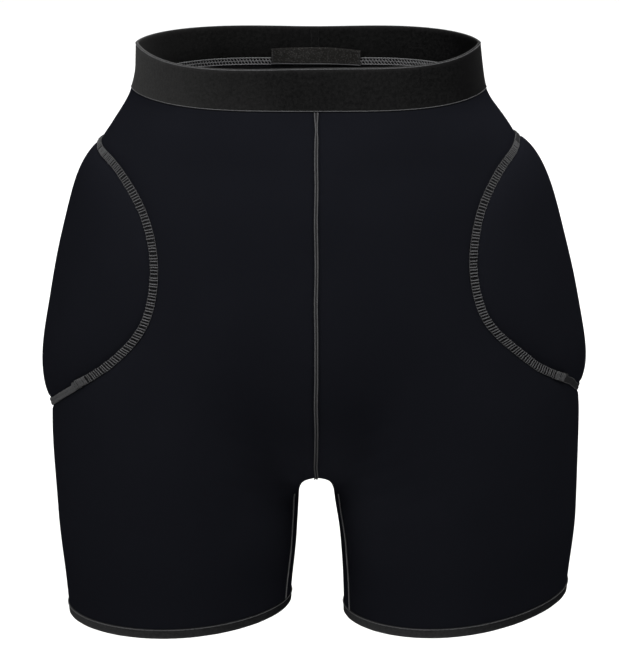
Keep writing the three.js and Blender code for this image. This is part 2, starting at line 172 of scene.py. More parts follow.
@dataclass(frozen=True)
class Profile:
    """A short table of sections from the top down, read as smooth columns.

    Attributes:
        names: The columns that follow the height.
        rows: One row for each section, with its height first.
    """

    names: tuple[str, ...]
    rows: tuple[tuple[float, ...], ...]

    def at(self, name: str, z: Array) -> Array:
        """Reads one column through a shape-preserving cubic.

        Args:
            name: The column.
            z: Heights.

        Returns:
            The column's value at each height.
        """
        table = np.array(self.rows, float)
        height = table[:, 0]
        value = table[:, 1 + self.names.index(name)]
        rise = np.diff(value) / np.diff(height)
        product = rise[:-1] * rise[1:]
        total = rise[:-1] + rise[1:]
        inner = np.where(product > 0, 2 * product / np.where(product > 0, total, 1.0), 0.0)
        slope = np.concatenate([rise[:1], inner, rise[-1:]])
        z = np.clip(z, height[-1], height[0])
        i = np.clip(np.searchsorted(-height, -z, side="right") - 1, 0, len(height) - 2)
        step = height[i + 1] - height[i]
        t = (z - height[i]) / step
        t2 = t * t
        t3 = t2 * t
        ends = (2 * t3 - 3 * t2 + 1) * value[i] + (3 * t2 - 2 * t3) * value[i + 1]
        return ends + ((t3 - 2 * t2 + t) * slope[i] + (t3 - t2) * slope[i + 1]) * step


BODY = Profile(
    ("left", "right", "front", "back", "flat", "full", "hollow"),
    (
        (17, 119, 130.6, 97.5, 86, 3.6, 1.5, 4),
        (0, 120.6, 130.8, 98, 87, 3.6, 1.5, 4),
        (-17, 123.7, 134.3, 99.5, 91, 3.6, 1.5, 4),
        (-44, 141, 148.8, 105, 100, 2.7, 2.1, 5),
        (-62, 152.5, 160, 108, 106, 2.3, 2.3, 5),
        (-98, 165.5, 170.5, 113, 119, 2.3, 2.3, 6),
        (-170, 182.7, 186, 115, 132, 2.3, 2.3, 8),
        (-224, 191.4, 193.2, 111.5, 131, 2.3, 2.3, 10),
        (-260, 193.6, 194, 107, 125, 2.3, 2.3, 10),
        (-333, 192, 190.7, 98, 108, 2.3, 2.3, 8),
        (-389, 186.4, 185, 92, 100, 2.3, 2.3, 8),
        (-425, 182.8, 181.5, 90, 98, 2.3, 2.3, 8),
    ),
)
THIGH = Profile(
    ("inside_left", "inside_right", "front", "back", "square"),
    (
        (-200, 13, 12, 112, 126, 2.05),
        (-312, 13, 12.4, 98, 108, 2.05),
        (-352, 17.8, 14, 94, 101, 2),
        (-389, 20.2, 17.8, 91, 97, 1.95),
        (-425, 21.4, 20.4, 90, 96, 1.95),
    ),
)


@dataclass(frozen=True)
class Leg:
    """One half's own heights, which differ a little from the other half's, and where its hip seam ends."""

    half: Half
    hem_out: float
    hem_in: float
    hem_front_dip: float
    hip_top: float
    hip_bottom: float
    hip_rise: float
    knot_turn: float
    knot_kink: float

    @property
    def sign(self) -> int:
        """The sign of X on this half."""
        return 1 if self.half is Half.LEFT else -1

    def hem(self, angle: Array) -> Array:
        """Gives the height of the hem's lower edge at angles from the side line.

        Args:
            angle: The angles.

        Returns:
            The height at each of them.
        """
        middle = (self.hem_out + self.hem_in) / 2
        across = middle + (self.hem_out - self.hem_in) / 2 * np.cos(angle)
        return across - np.where(angle < 0, self.hem_front_dip * np.sin(angle) ** 2, 0.0)


LEGS = (
    Leg(
        Half.LEFT,
        hem_out=-394,
        hem_in=-411.5,
        hem_front_dip=4,
        hip_top=-55.6,
        hip_bottom=-242.3,
        hip_rise=3.2,
        knot_turn=226,
        knot_kink=1.3,
    ),
    Leg(
        Half.RIGHT,
        hem_out=-410.5,
        hem_in=-402.5,
        hem_front_dip=1.5,
        hip_top=-58.5,
        hip_bottom=-254,
        hip_rise=1.2,
        knot_turn=219.5,
        knot_kink=0.3,
    ),
)


@dataclass(frozen=True)
class BodyForm:
    """The outer form that all pieces lie on: a torso whose lower end parts into two thighs."""

    fork_z: float = -320.5
    seat_z: float = -196
    fork_round: float = 9
    leg_round: float = 110
    leg_reach: float = 70
    fork_blend: float = 22
    hollow_width: float = 38
    axis_reach: float = 70

    @staticmethod
    def oval(
        u: Array, v: Array, half_u: Array, half_v: Array, flat: Array, full: Array, size: Array
    ) -> Array:
        """Tells how far points lie outside an oval of about the given size, negative inside."""
        reach = (np.abs(u / half_u) ** flat + np.abs(v / half_v) ** full) ** (2 / (flat + full))
        return (reach * reach - 1) * size / 2

    def torso(self, x: Array, y: Array, z: Array) -> Array:
        """Tells how far points lie outside the torso, negative inside.

        Args:
            x: Places across.
            y: Places from front to back.
            z: Heights.

        Returns:
            About how many millimetres they lie outside.
        """
        half = np.where(x > 0, BODY.at("left", z), BODY.at("right", z))
        front = BODY.at("front", z)
        back = BODY.at("back", z)
        drawn = BODY.at("hollow", z) * bump(x, 0, self.hollow_width)
        pushed = np.where(y > 0, y + drawn * np.clip(y / back, 0, 1), y)
        depth = np.where(y > 0, back, front)
        return self.oval(x, pushed, half, depth, BODY.at("flat", z), BODY.at("full", z), (front + back) / 2)

    def thigh_middle(self, half: Half, z: Array) -> tuple[Array, Array]:
        """Gives the distance of a thigh's middle from the middle plane, and its half width.

        Args:
            half: The half.
            z: Heights.

        Returns:
            The distance and the half width.
        """
        outside = BODY.at(half.value, z)
        inside = THIGH.at(f"inside_{half.value}", z)
        return (outside + inside) / 2, (outside - inside) / 2

    def thigh(self, leg: Leg, x: Array, y: Array, z: Array) -> Array:
        """Tells how far points lie outside one thigh, negative inside.

        Args:
            leg: The half.
            x: Places across.
            y: Places from front to back.
            z: Heights.

        Returns:
            About how many millimetres they lie outside.
        """
        middle, half = self.thigh_middle(leg.half, z)
        depth = np.where(y > 0, THIGH.at("back", z), THIGH.at("front", z))
        square = THIGH.at("square", z)
        return self.oval(x * leg.sign - middle, y, half, depth, square, square, half)

    def seat_share(self, x: Array, z: Array) -> Array:
        """Gives 0 in the legs and 1 in the seat, starting softly at the fork.

        Args:
            x: Places across.
            z: Heights.

        Returns:
            The share at each place.
        """
        up = np.maximum(z - self.fork_z, 0)
        turn = self.fork_round + (self.leg_round - self.fork_round) * smooth(np.abs(x) / self.leg_reach)
        rounded = np.where(up < turn, up * up / (2 * turn), up - turn / 2)
        t = np.clip(rounded / (self.seat_z - self.fork_z), 0, 1)
        return 1 - (1 - t) ** 2

    def field(self, x: Array, y: Array, z: Array) -> Array:
        """Tells how far points lie outside the whole form, negative inside.

        Args:
            x: Places across.
            y: Places from front to back.
            z: Heights.

        Returns:
            About how many millimetres they lie outside.
        """
        share = self.seat_share(x, z)
        a, b = (self.thigh(leg, x, y, z) for leg in LEGS)
        near = np.maximum(self.fork_blend - np.abs(a - b), 0) / self.fork_blend
        thighs = np.minimum(a, b) - near * near * self.fork_blend / 4
        return (1 - share) * thighs + share * self.torso(x, y, z)

    def normal(self, points: Array) -> Array:
        """Gives the form's outward direction at points on it.

        Args:
            points: The points.

        Returns:
            Directions of length one.
        """
        step = 0.05
        parts = []
        for axis in np.eye(3) * step:
            ahead = self.field(*np.moveaxis(points + axis, -1, 0))
            behind = self.field(*np.moveaxis(points - axis, -1, 0))
            parts.append(ahead - behind)
        return unit(np.stack(parts, axis=-1))

    @cached_property
    def crotch(self) -> float:
        """The height of the fork on the middle plane."""
        zero = np.zeros(1)
        height = root(lambda z: self.field(zero, zero, z), np.array([-250.0]), np.array([self.fork_z]))
        return float(height[0])

    def axis(self, leg: Leg, z: Array) -> Array:
        """Gives how far out each half's own axis stands, from the middle plane to the thigh's middle."""
        middle, _ = self.thigh_middle(leg.half, z)
        return middle * (1 - smooth((z - self.crotch) / self.axis_reach))

    def point(self, leg: Leg, angle: Array, z: Array) -> Array:
        """Finds the form's points on one half.

        Args:
            leg: The half.
            angle: Angles from the side line, negative to the front.
            z: Heights.

        Returns:
            The points, which never pass the middle plane.
        """
        angle, z = np.broadcast_arrays(np.asarray(angle, float), np.asarray(z, float))
        axis = self.axis(leg, z) * leg.sign
        across = (BODY.at(leg.half.value, z) - np.abs(axis)) * leg.sign * np.cos(angle)
        deep = np.sin(angle) * np.where(angle < 0, BODY.at("front", z), BODY.at("back", z))

        def outside(reach: Array) -> Array:
            """Tells how far a point along each ray lies outside this half."""
            x = axis + reach * across
            return np.where(x * leg.sign < 0, 1.0, self.field(x, reach * deep, z))

        reach = root(outside, np.zeros(z.shape), np.full(z.shape, 3.0))
        return np.stack([axis + reach * across, reach * deep, z], axis=-1)

    def depth(self, x: Array, z: Array, way: int) -> Array:
        """Finds how far the form reaches to the front (way -1) or the back (way 1) at the given places."""
        x, z = np.broadcast_arrays(np.asarray(x, float), np.asarray(z, float))
        return root(lambda r: self.field(x, r * way, z), np.zeros(z.shape), np.full(z.shape, FAR))

    def seam_angles(self, leg: Leg, z: Array) -> tuple[Array, Array]:
        """Gives the angles at which one half meets the middle plane, at the front and at the back.

        Args:
            leg: The half.
            z: Heights.

        Returns:
            The front and the back angles.
        """
        x = np.full(z.shape, GAP / 2 * leg.sign)
        axis = self.axis(leg, z)
        inward = (GAP / 2 - axis) / (BODY.at(leg.half.value, z) - axis)
        front = np.arctan2(-self.depth(x, z, -1) / BODY.at("front", z), inward)
        back = np.arctan2(self.depth(x, z, 1) / BODY.at("back", z), inward)
        return front, back

    def waist(self, turn: Array, z: Array) -> tuple[Array, Array]:
        """Finds points round the waist and their level outward directions.

        Args:
            turn: Angles round the waist: the left half runs from -pi/2 at the front to pi/2 at the back.
            z: Heights.

        Returns:
            The points and the directions.
        """
        turn, z = np.broadcast_arrays(np.asarray(turn, float), np.asarray(z, float))
        left = self.point(LEGS[0], turn, z)
        right = self.point(LEGS[1], math.pi - turn, z)
        points = np.where((turn <= math.pi / 2)[..., None], left, right)
        return points, unit(self.normal(points) * (1, 1, 0))

    def even_turns(self, z: float, pitch: float) -> Array:
        """Spaces turns evenly round the waist at one height, about a pitch apart.

        Args:
            z: The height.
            pitch: About how far apart they are.

        Returns:
            The turns, an even number of them.
        """
        dense = np.linspace(-math.pi / 2, 3 * math.pi / 2, 720, endpoint=False)
        points, _ = self.waist(dense, z)
        length = run_lengths(points, True)
        count = 2 * round(length[-1] / pitch / 2)
        wanted = np.arange(count) * length[-1] / count
        return np.interp(wanted, length, np.append(dense, 3 * math.pi / 2))


@dataclass(frozen=True)
class Ripples:
    """Soft waves in worn cloth, the same on every run."""

    depth: float
    length: float
    waves: int = 7
    seed: int = 5

    def at(self, points: Array) -> Array:
        """Gives the height of the waves at points of the cloth.

        Args:
            points: The points.

        Returns:
            The height at each of them.
        """
        maker = np.random.default_rng(self.seed)
        ways = unit(maker.normal(size=(self.waves, 3)))
        ways = ways / (self.length * maker.uniform(0.7, 1.5, size=(self.waves, 1)))
        phases = maker.uniform(0, 2 * math.pi, size=self.waves)
        heights = np.sin(2 * math.pi * points @ ways.T + phases).sum(axis=-1)
        return self.depth * heights / math.sqrt(self.waves)


@dataclass(frozen=True)
class Pucker:
    """A groove and small gathers that a seam draws into the cloth beside it."""

    depth: float = 0.35
    pitch: float = 8.5
    reach: float = 6.0
    groove: float = 0.7
    groove_reach: float = 1.5

    def at(self, distance: Array, along: Array) -> Array:
        """Gives how far the cloth is drawn in.

        Args:
            distance: Distance from the seam's edge, negative under the seam.
            along: Length along the seam.

        Returns:
            Heights from the even surface, zero or negative.
        """
        away = np.maximum(distance, 0)
        wave = np.sin(2 * math.pi * along / self.pitch + 1.3 * np.sin(along / (2.3 * self.pitch)))
        gathers = self.depth * bump(away, 0, self.reach) * (0.55 + 0.45 * wave)
        return -gathers - self.groove * bump(away, 0, self.groove_reach)


def wander(along: Array, depth: float, length: float, seed: int) -> Array:
    """Draws a slow uneven wave along a line.

    Args:
        along: Lengths along the line.
        depth: About how far it swings.
        length: About how long its waves are.
        seed: Picks one wave of many.

    Returns:
        The wave's height at each length.
    """
    maker = np.random.default_rng(seed)
    pace = maker.uniform(0.6, 1.7, size=5) * 2 * math.pi / length
    start = maker.uniform(0, 2 * math.pi, size=5)
    return depth * np.sin(np.multiply.outer(along, pace) + start).mean(axis=-1) * 1.6


class Skin:
    """Collects a piece's faces, cloth coordinates, finishes, and its wear and painted light and shade."""

    def __init__(self) -> None:
        """Starts with nothing."""
        self.points: list[Array] = []
        self.wear_and_painted_light_values: list[Array] = []
        self.blocks: list[Array] = []
        self.corners: list[Array] = []
        self.coats: list[int] = []
        self.count = 0

    def add(self, points: Array, wear_and_painted_light: Array | float = 0.0) -> int:
        """Adds points.

        Args:
            points: The points.
            wear_and_painted_light: How much paler wear and painted light make each point, less than 0 under
                painted shade.

        Returns:
            The number of the first one.
        """
        flat = points.reshape(-1, 3)
        first = self.count
        self.points.append(flat)
        self.wear_and_painted_light_values.append(np.broadcast_to(np.asarray(wear_and_painted_light, float), points.shape[:-1]).ravel())
        self.count += len(flat)
        return first

    def faces(self, numbers: Array, uv: Array, coat: int = Coat.GROUND) -> None:
        """Adds faces.

        Args:
            numbers: The corners of the faces, which all have the same number of them.
            uv: Cloth coordinates of the corners.
            coat: Which finish the faces wear.
        """
        self.blocks.append(numbers)
        self.corners.append(uv.reshape(-1, 2))
        self.coats.extend([int(coat)] * len(numbers))

    def shell(
        self,
        outer: Array,
        inner: Array,
        faces: list[Array],
        uv: Array,
        weld: Array | None = None,
        wear_and_painted_light: Array | float = 0.0,
    ) -> None:
        """Adds a closed wall between an outer and an inner layer with the same faces.

        Args:
            outer: Points of the outer layer.
            inner: Points of the inner layer, in the same order.
            faces: Blocks of faces, each block with one number of corners.
            uv: Cloth coordinates of the points.
            weld: For each point the one that stands for it, where two lie in one place.
            wear_and_painted_light: How much paler wear and painted light make each point of a layer, below 0
                under painted shade.
        """
        outer = outer.reshape(-1, 3)
        inner = inner.reshape(-1, 3)
        count = len(outer)
        weld = np.arange(count) if weld is None else weld
        first = self.add(np.concatenate([outer, inner]), np.tile(np.broadcast_to(wear_and_painted_light, count), 2))
        sides = []
        for block in faces:
            back = block[:, ::-1]
            self.faces(first + weld[block], uv[block])
            self.faces(first + count + weld[back], uv[back])
            sides.append(np.stack([block, np.roll(block, -1, axis=1)], axis=2).reshape(-1, 2))
        edges = np.concatenate(sides)
        a, b = weld[edges].T
        a, b = edges[~np.isin(a * count + b, b * count + a)].T
        rim = np.stack([weld[b], weld[a], count + weld[a], count + weld[b]], axis=1)
        self.faces(first + rim, uv[np.stack([b, a, a, b], axis=1)])

    def sweep(self, points: Array, closed: bool, wear_and_painted_light: Array | float = 0.0) -> None:
        """Adds a surface that closes round each cross-section.

        Args:
            points: Points by place round the section, then by place along the sweep.
            closed: Whether the sweep's end joins its start.
            wear_and_painted_light: How much paler wear and painted light make each point, less than 0 under
                painted shade.
        """
        rows, columns = points.shape[:2]
        numbers = self.add(points, wear_and_painted_light) + np.arange(rows * columns).reshape(rows, columns)
        uv = np.meshgrid(run_lengths(points[0], closed), run_lengths(points[:, 0], True))
        uv = np.stack(uv, axis=-1) * MM
        ends = numbers[:, [0, -1]]
        numbers = np.concatenate([numbers, numbers[:1]])
        if closed:
            numbers = np.concatenate([numbers, numbers[:, :1]], axis=1)
        block = cells(*numbers.shape)
        self.faces(numbers.ravel()[block], uv.reshape(-1, 2)[block])
        if not closed:
            self.faces(ends.T, np.zeros((2, rows, 2)))

    def threads(
        self,
        paths: Array,
        ups: Array,
        radius: Array | float,
        closed: bool = False,
        sides: int = 6,
        coat: int = Coat.THREAD,
    ) -> None:
        """Adds round threads, many at once.

        Args:
            paths: Points by thread, then along it.
            ups: The direction away from the cloth at each point.
            radius: The threads' radius, or one for each point along them.
            closed: Whether each thread's end joins its start.
            sides: Sides of each thread.
            coat: Which finish the faces wear.
        """
        count, steps = paths.shape[:2]
        if closed:
            ahead = np.roll(paths, -1, axis=1) - np.roll(paths, 1, axis=1)
        else:
            ahead = np.gradient(paths, axis=1)
        ahead = unit(ahead)
        aside = unit(np.cross(ahead, ups))
        away = np.cross(aside, ahead)
        turn = 2 * math.pi * np.arange(sides) / sides
        thick = np.broadcast_to(np.asarray(radius, float), (steps,))[:, None, None]
        ring = np.cos(turn)[:, None] * aside[:, :, None] + np.sin(turn)[:, None] * away[:, :, None]
        points = paths[:, :, None] + thick * ring
        numbers = self.add(points, 1.0) + np.arange(count * steps * sides).reshape(count, steps, sides)
        last = steps if closed else steps - 1
        i = np.arange(last)[:, None]
        k = np.arange(sides)[None, :]
        after = (i + 1) % steps
        beside = (k + 1) % sides
        corners = (numbers[:, i, k], numbers[:, after, k], numbers[:, after, beside], numbers[:, i, beside])
        quads = np.stack(corners, -1)
        step = float(np.linalg.norm(np.diff(paths[0], axis=0), axis=1).mean()) * MM
        u = np.stack([i, i + 1, i + 1, i], -1) * step + 0.0 * k[..., None]
        v = np.stack([k, k, k + 1, k + 1], -1) / sides + 0.0 * i[..., None]
        uv = np.broadcast_to(np.stack([u, v], -1), quads.shape + (2,))
        self.faces(quads.reshape(-1, 4), uv, coat)
        if not closed:
            for end in (numbers[:, 0], numbers[:, -1, ::-1]):
                self.faces(end, np.zeros(end.shape + (2,)), coat)

    def piece(self, name: str, finishes: list[Finish], cut: Cut | None = None) -> bpy.types.Object:
        """Makes the mesh and puts it in the scene.

        Args:
            name: The piece's name, which is also its node's.
            finishes: The finishes that its faces may wear.
            cut: The cut of cloth that it is made of, if it is a sheet.

        Returns:
            The new object, riding on the part's one body in place of the node.
        """
        used = np.unique(np.concatenate([block.ravel() for block in self.blocks]))
        place = np.full(self.count, -1)
        place[used] = np.arange(len(used))
        mesh = bpy.data.meshes.new(name)
        points = np.concatenate(self.points)[used] * MM
        faces = [face for block in self.blocks for face in place[block].tolist()]
        mesh.from_pydata(points.tolist(), [], faces)
        layer = mesh.uv_layers.new(name=CLOTH_MAP)
        layer.uv.foreach_set("vector", np.concatenate(self.corners).astype(np.float32).ravel())
        mesh.polygons.foreach_set("material_index", np.array(self.coats, np.int32))
        wear_and_painted_light = mesh.attributes.new(WEAR_AND_LIGHT_LAYER, "FLOAT", "POINT")
        wear_and_painted_light.data.foreach_set("value", np.concatenate(self.wear_and_painted_light_values)[used].astype(np.float32))
        for finish in finishes:
            mesh.materials.append(finish.material())
        shaped = bmesh.new()
        shaped.from_mesh(mesh)
        bmesh.ops.recalc_face_normals(shaped, faces=shaped.faces)
        shaped.to_mesh(mesh)
        shaped.free()
        mesh.shade_smooth()
        mesh.set_sharp_from_angle(angle=math.radians(SHARP_ANGLE))
        made = bpy.data.objects.new(name, mesh)
        bpy.context.scene.collection.objects.link(made)
        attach(made, "root")
        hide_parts(name)
        mesh.calc_loop_triangles()
        area = sum(face.area for face in mesh.polygons)
        LOG.info("%s: %d triangles, %.4f square metres of surface", name, len(mesh.loop_triangles), area)
        if cut is not None:
            cut.declare(made)
        return made


@dataclass(frozen=True)
class Cut:
    """A piece of cloth before it is sewn.

    Attributes:
        width: Width of the cut.
        length: Length of the cut.
        filled: Share of that rectangle that the cut fills.
        hold: How the finished shorts hold it.
    """

    width: float
    length: float
    filled: float = 1.0
    hold: Hold = Hold.STRETCHED

    def declare(self, piece: bpy.types.Object) -> None:
        """Takes a piece made of this cut, and does nothing with it."""


class Graph:
    """Places nodes in one node tree and links them."""

    def __init__(self, tree: bpy.types.NodeTree) -> None:
        """Takes the tree to draw in."""
        self.tree = tree

    def add(self, kind: str, **settings: object) -> bpy.types.Node:
        """Adds a node of the given kind with its settings.

        Args:
            kind: The kind of node.
            **settings: Its settings.

        Returns:
            The node.
        """
        node = self.tree.nodes.new(kind)
        for name, value in settings.items():
            setattr(node, name, value)
        return node

    def feed(self, target: Socket, value: Socket | float | tuple) -> None:
        """Links a socket to another one, or sets its value.

        Args:
            target: The socket to feed.
            value: The socket to link to it, or its value.
        """
        if isinstance(value, bpy.types.NodeSocket):
            self.tree.links.new(value, target)
        else:
            target.default_value = value

    def result(
        self,
        kind: str,
        output: int | str,
        inputs: dict[int | str, Socket | float | tuple],
        **settings: object,
    ) -> Socket:
        """Adds a node with all that goes into it.

        Args:
            kind: The kind of node.
            output: The output that is wanted.
            inputs: What each input takes.
            **settings: The node's settings.

        Returns:
            The wanted output.
        """
        node = self.add(kind, **settings)
        for name, value in inputs.items():
            self.feed(node.inputs[name], value)
        return node.outputs[output]

    def math(self, operation: str, *values: Socket | float) -> Socket:
        """Works out one value from others."""
        return self.result("ShaderNodeMath", 0, dict(enumerate(values)), operation=operation)

    def scaled(self, vector: Socket, factor: float) -> Socket:
        """Multiplies a vector by a number."""
        parts = {"Vector": vector, "Scale": factor}
        return self.result("ShaderNodeVectorMath", "Vector", parts, operation="SCALE")

    def axis(self, vector: Socket, name: str) -> Socket:
        """Takes X or Y out of a vector."""
        return self.result("ShaderNodeSeparateXYZ", name, {0: vector})

    def noise(self, place: Socket, scale: Socket | float, detail: float) -> Socket:
        """Adds soft noise from 0 to 1."""
        parts = {"Vector": place, "Scale": scale, "Detail": detail}
        return self.result("ShaderNodeTexNoise", "Fac", parts)

    def between(self, value: Socket, low: Socket | float, high: Socket | float) -> Socket:
        """Eases from 0 to 1 while a value goes from low to high."""
        parts = {"Value": value, "From Min": low, "From Max": high}
        return self.result("ShaderNodeMapRange", "Result", parts, interpolation_type="SMOOTHSTEP")

    def blend(self, share: Socket, low: tuple, high: tuple) -> Socket:
        """Mixes two colours."""
        parts = {0: share, 6: (*low, 1.0), 7: (*high, 1.0)}
        return self.result("ShaderNodeMix", 2, parts, data_type="RGBA")


class Effect(ABC):
    """A surface effect that several finishes share, kept as one node group."""

    name: ClassVar[str]
    vector: ClassVar[str]
    values: ClassVar[dict[str, float]]
    results: ClassVar[tuple[str, ...]]

    @abstractmethod
    def draw(self, graph: Graph, given: dict[str, Socket]) -> tuple[Socket, ...]:
        """Draws the effect.

        Args:
            graph: The group's graph.
            given: The group's inputs by name.

        Returns:
            One socket for each result.
        """

    def tree(self) -> bpy.types.NodeTree:
        """Makes the group, or finds the one that was made.

        Returns:
            The group.
        """
        found = bpy.data.node_groups.get(self.name)
        if found is not None:
            return found
        tree = bpy.data.node_groups.new(self.name, "ShaderNodeTree")
        tree.interface.new_socket(name=self.vector, in_out="INPUT", socket_type="NodeSocketVector")
        for name, value in self.values.items():
            socket = tree.interface.new_socket(name=name, in_out="INPUT", socket_type="NodeSocketFloat")
            socket.default_value = value
        for name in self.results:
            tree.interface.new_socket(name=name, in_out="OUTPUT", socket_type="NodeSocketFloat")
        graph = Graph(tree)
        inputs = graph.add("NodeGroupInput")
        outputs = graph.add("NodeGroupOutput")
        given = {name: inputs.outputs[name] for name in (self.vector, *self.values)}
        for name, socket in zip(self.results, self.draw(graph, given)):
            graph.feed(outputs.inputs[name], socket)
        return tree

    def place(self, graph: Graph, vector: Socket, **values: Socket | float) -> list[Socket]:
        """Puts the group into a material.

        Args:
            graph: The material's graph.
            vector: The coordinates that it reads.
            **values: Its own values, in place of the group's usual ones.

        Returns:
            The group's results.
        """
        node = graph.add("ShaderNodeGroup", node_tree=self.tree())
        graph.feed(node.inputs[self.vector], vector)
        for name, value in values.items():
            graph.feed(node.inputs[name], value)
        return [node.outputs[name] for name in self.results]


class KnitLoops(Effect):
    """Rows of fine knitted loops that lean to both sides of each wale."""

    name = "Knit loops"
    vector = "Cloth"
    values = {"Wale": 0.8, "Course": 0.7, "Lean": 0.8}
    results = ("Height", "Shade")

    def draw(self, graph: Graph, given: dict[str, Socket]) -> tuple[Socket, ...]:
        """Draws the loops from cloth coordinates in metres and pitches in millimetres."""
        place = graph.scaled(given["Cloth"], 1 / MM)
        wale = graph.math("DIVIDE", graph.axis(place, "X"), given["Wale"])
        strand = graph.math("MULTIPLY", graph.math("PINGPONG", wale, 0.5), 2.0)
        course = graph.math("DIVIDE", graph.axis(place, "Y"), given["Course"])
        slant = graph.math("MULTIPLY_ADD", strand, given["Lean"], course)
        loop = graph.math("SINE", graph.math("MULTIPLY", slant, 2 * math.pi))
        loop = graph.math("MULTIPLY_ADD", loop, 0.5, 0.5)
        round_strand = graph.math("SINE", graph.math("MULTIPLY", strand, math.pi))
        height = graph.math("MULTIPLY", loop, graph.math("MULTIPLY_ADD", round_strand, 0.6, 0.4))
        return height, graph.math("MULTIPLY", height, height)


class RibWeave(Effect):
    """Fine ribs of a woven tape, crossed by a weft that steps over and under them."""

    name = "Rib weave"
    vector = "Cloth"
    values = {"Warp": 0.9, "Weft": 0.7, "Nap": 0.5}
    results = ("Height", "Shade")

    def draw(self, graph: Graph, given: dict[str, Socket]) -> tuple[Socket, ...]:
        """Draws the weave from cloth coordinates in metres and pitches in millimetres."""
        place = graph.scaled(given["Cloth"], 1 / MM)
        warp = graph.math("DIVIDE", graph.axis(place, "X"), given["Warp"])
        rib = graph.math("ABSOLUTE", graph.math("SINE", graph.math("MULTIPLY", warp, math.pi)))
        weft = graph.math("DIVIDE", graph.axis(place, "Y"), given["Weft"])
        stepped = graph.math("ADD", weft, graph.math("MULTIPLY", graph.math("FLOOR", warp), 0.5))
        over = graph.math("SINE", graph.math("MULTIPLY", stepped, 2 * math.pi))
        woven = graph.math("MULTIPLY", rib, graph.math("MULTIPLY_ADD", over, 0.35, 0.65))
        coarse = graph.between(graph.noise(place, 0.38, 3.0), 0.3, 0.7)
        fine = graph.between(graph.noise(place, 0.95, 2.0), 0.35, 0.7)
        mottle = graph.math("MULTIPLY_ADD", coarse, 0.5, graph.math("MULTIPLY", fine, 0.5))
        nap = graph.math("MULTIPLY", mottle, given["Nap"])
        return graph.math("ADD", woven, nap), graph.math("MULTIPLY_ADD", woven, 0.3, nap)


class ThreadPly(Effect):
    """The twist of a sewing thread's plies."""

    name = "Thread ply"
    vector = "Thread"
    values = {"Twist": 1.1, "Plies": 3.0}
    results = ("Height", "Shade")

    def draw(self, graph: Graph, given: dict[str, Socket]) -> tuple[Socket, ...]:
        """Draws the twist from the length along the thread and the share of the way round it."""
        length = graph.math("DIVIDE", graph.axis(given["Thread"], "X"), MM)
        along = graph.math("DIVIDE", length, given["Twist"])
        turn = graph.math("MULTIPLY_ADD", graph.axis(given["Thread"], "Y"), given["Plies"], along)
        ply = graph.math("ABSOLUTE", graph.math("SINE", graph.math("MULTIPLY", turn, math.pi)))
        return ply, graph.math("POWER", ply, 1.5)


class ToneDrift(Effect):
    """Slow changes of tone over a surface, as dye and handling leave them."""

    name = "Tone drift"
    vector = "Place"
    values = {"Patch": 40.0, "Fine": 4.0}
    results = ("Tone",)

    def draw(self, graph: Graph, given: dict[str, Socket]) -> tuple[Socket, ...]:
        """Draws broad and fine patches, with their sizes in millimetres."""
        place = graph.scaled(given["Place"], 1 / MM)
        broad = graph.noise(place, graph.math("DIVIDE", 1.0, given["Patch"]), 3.0)
        fine = graph.noise(place, graph.math("DIVIDE", 1.0, given["Fine"]), 2.0)
        return (graph.math("MULTIPLY_ADD", fine, 0.4, graph.math("MULTIPLY", broad, 0.6)),)


class Specks(Effect):
    """Small scattered spots: lint on cloth, or the open cells of foam."""

    name = "Specks"
    vector = "Place"
    values = {"Spacing": 6.0, "Size": 0.08, "Cover": 0.5}
    results = ("Mask",)

    def draw(self, graph: Graph, given: dict[str, Socket]) -> tuple[Socket, ...]:
        """Draws round spots by their spacing in millimetres and their size as a share of it."""
        place = graph.scaled(given["Place"], 1 / MM)
        spots = {"Vector": place, "Scale": graph.math("DIVIDE", 1.0, given["Spacing"])}
        distance = graph.result("ShaderNodeTexVoronoi", "Distance", spots)
        near = graph.math("SUBTRACT", 1.0, graph.between(distance, 0.0, given["Size"]))
        patch = graph.between(graph.noise(place, 0.05, 2.0), graph.math("SUBTRACT", 1.0, given["Cover"]), 1.0)
        return (graph.math("MULTIPLY", near, patch),)


class WearAndPaintedLight(Effect):
    """Paler fibres where folds and edges wear, with painted light and shade, broken up by a grain."""

    name = "Wear and painted light"
    vector = "Place"
    values = {"Wear_and_light": 0.0, "Grain": 1.5}
    results = ("Mask",)

    def draw(self, graph: Graph, given: dict[str, Socket]) -> tuple[Socket, ...]:
        """Draws the worn places and the painted light and shade, broken up by a grain in millimetres."""
        place = graph.scaled(given["Place"], 1 / MM)
        grain = graph.noise(place, graph.math("DIVIDE", 1.0, given["Grain"]), 3.0)
        broken = graph.math("MULTIPLY_ADD", graph.between(grain, 0.25, 0.8), 0.45, 0.55)
        return (graph.math("MULTIPLY", given["Wear_and_light"], broken),)


KNIT = KnitLoops()
WEAVE = RibWeave()
PLY = ThreadPly()
DRIFT = ToneDrift()
SPECKS = Specks()
WEAR_AND_LIGHT = WearAndPaintedLight()


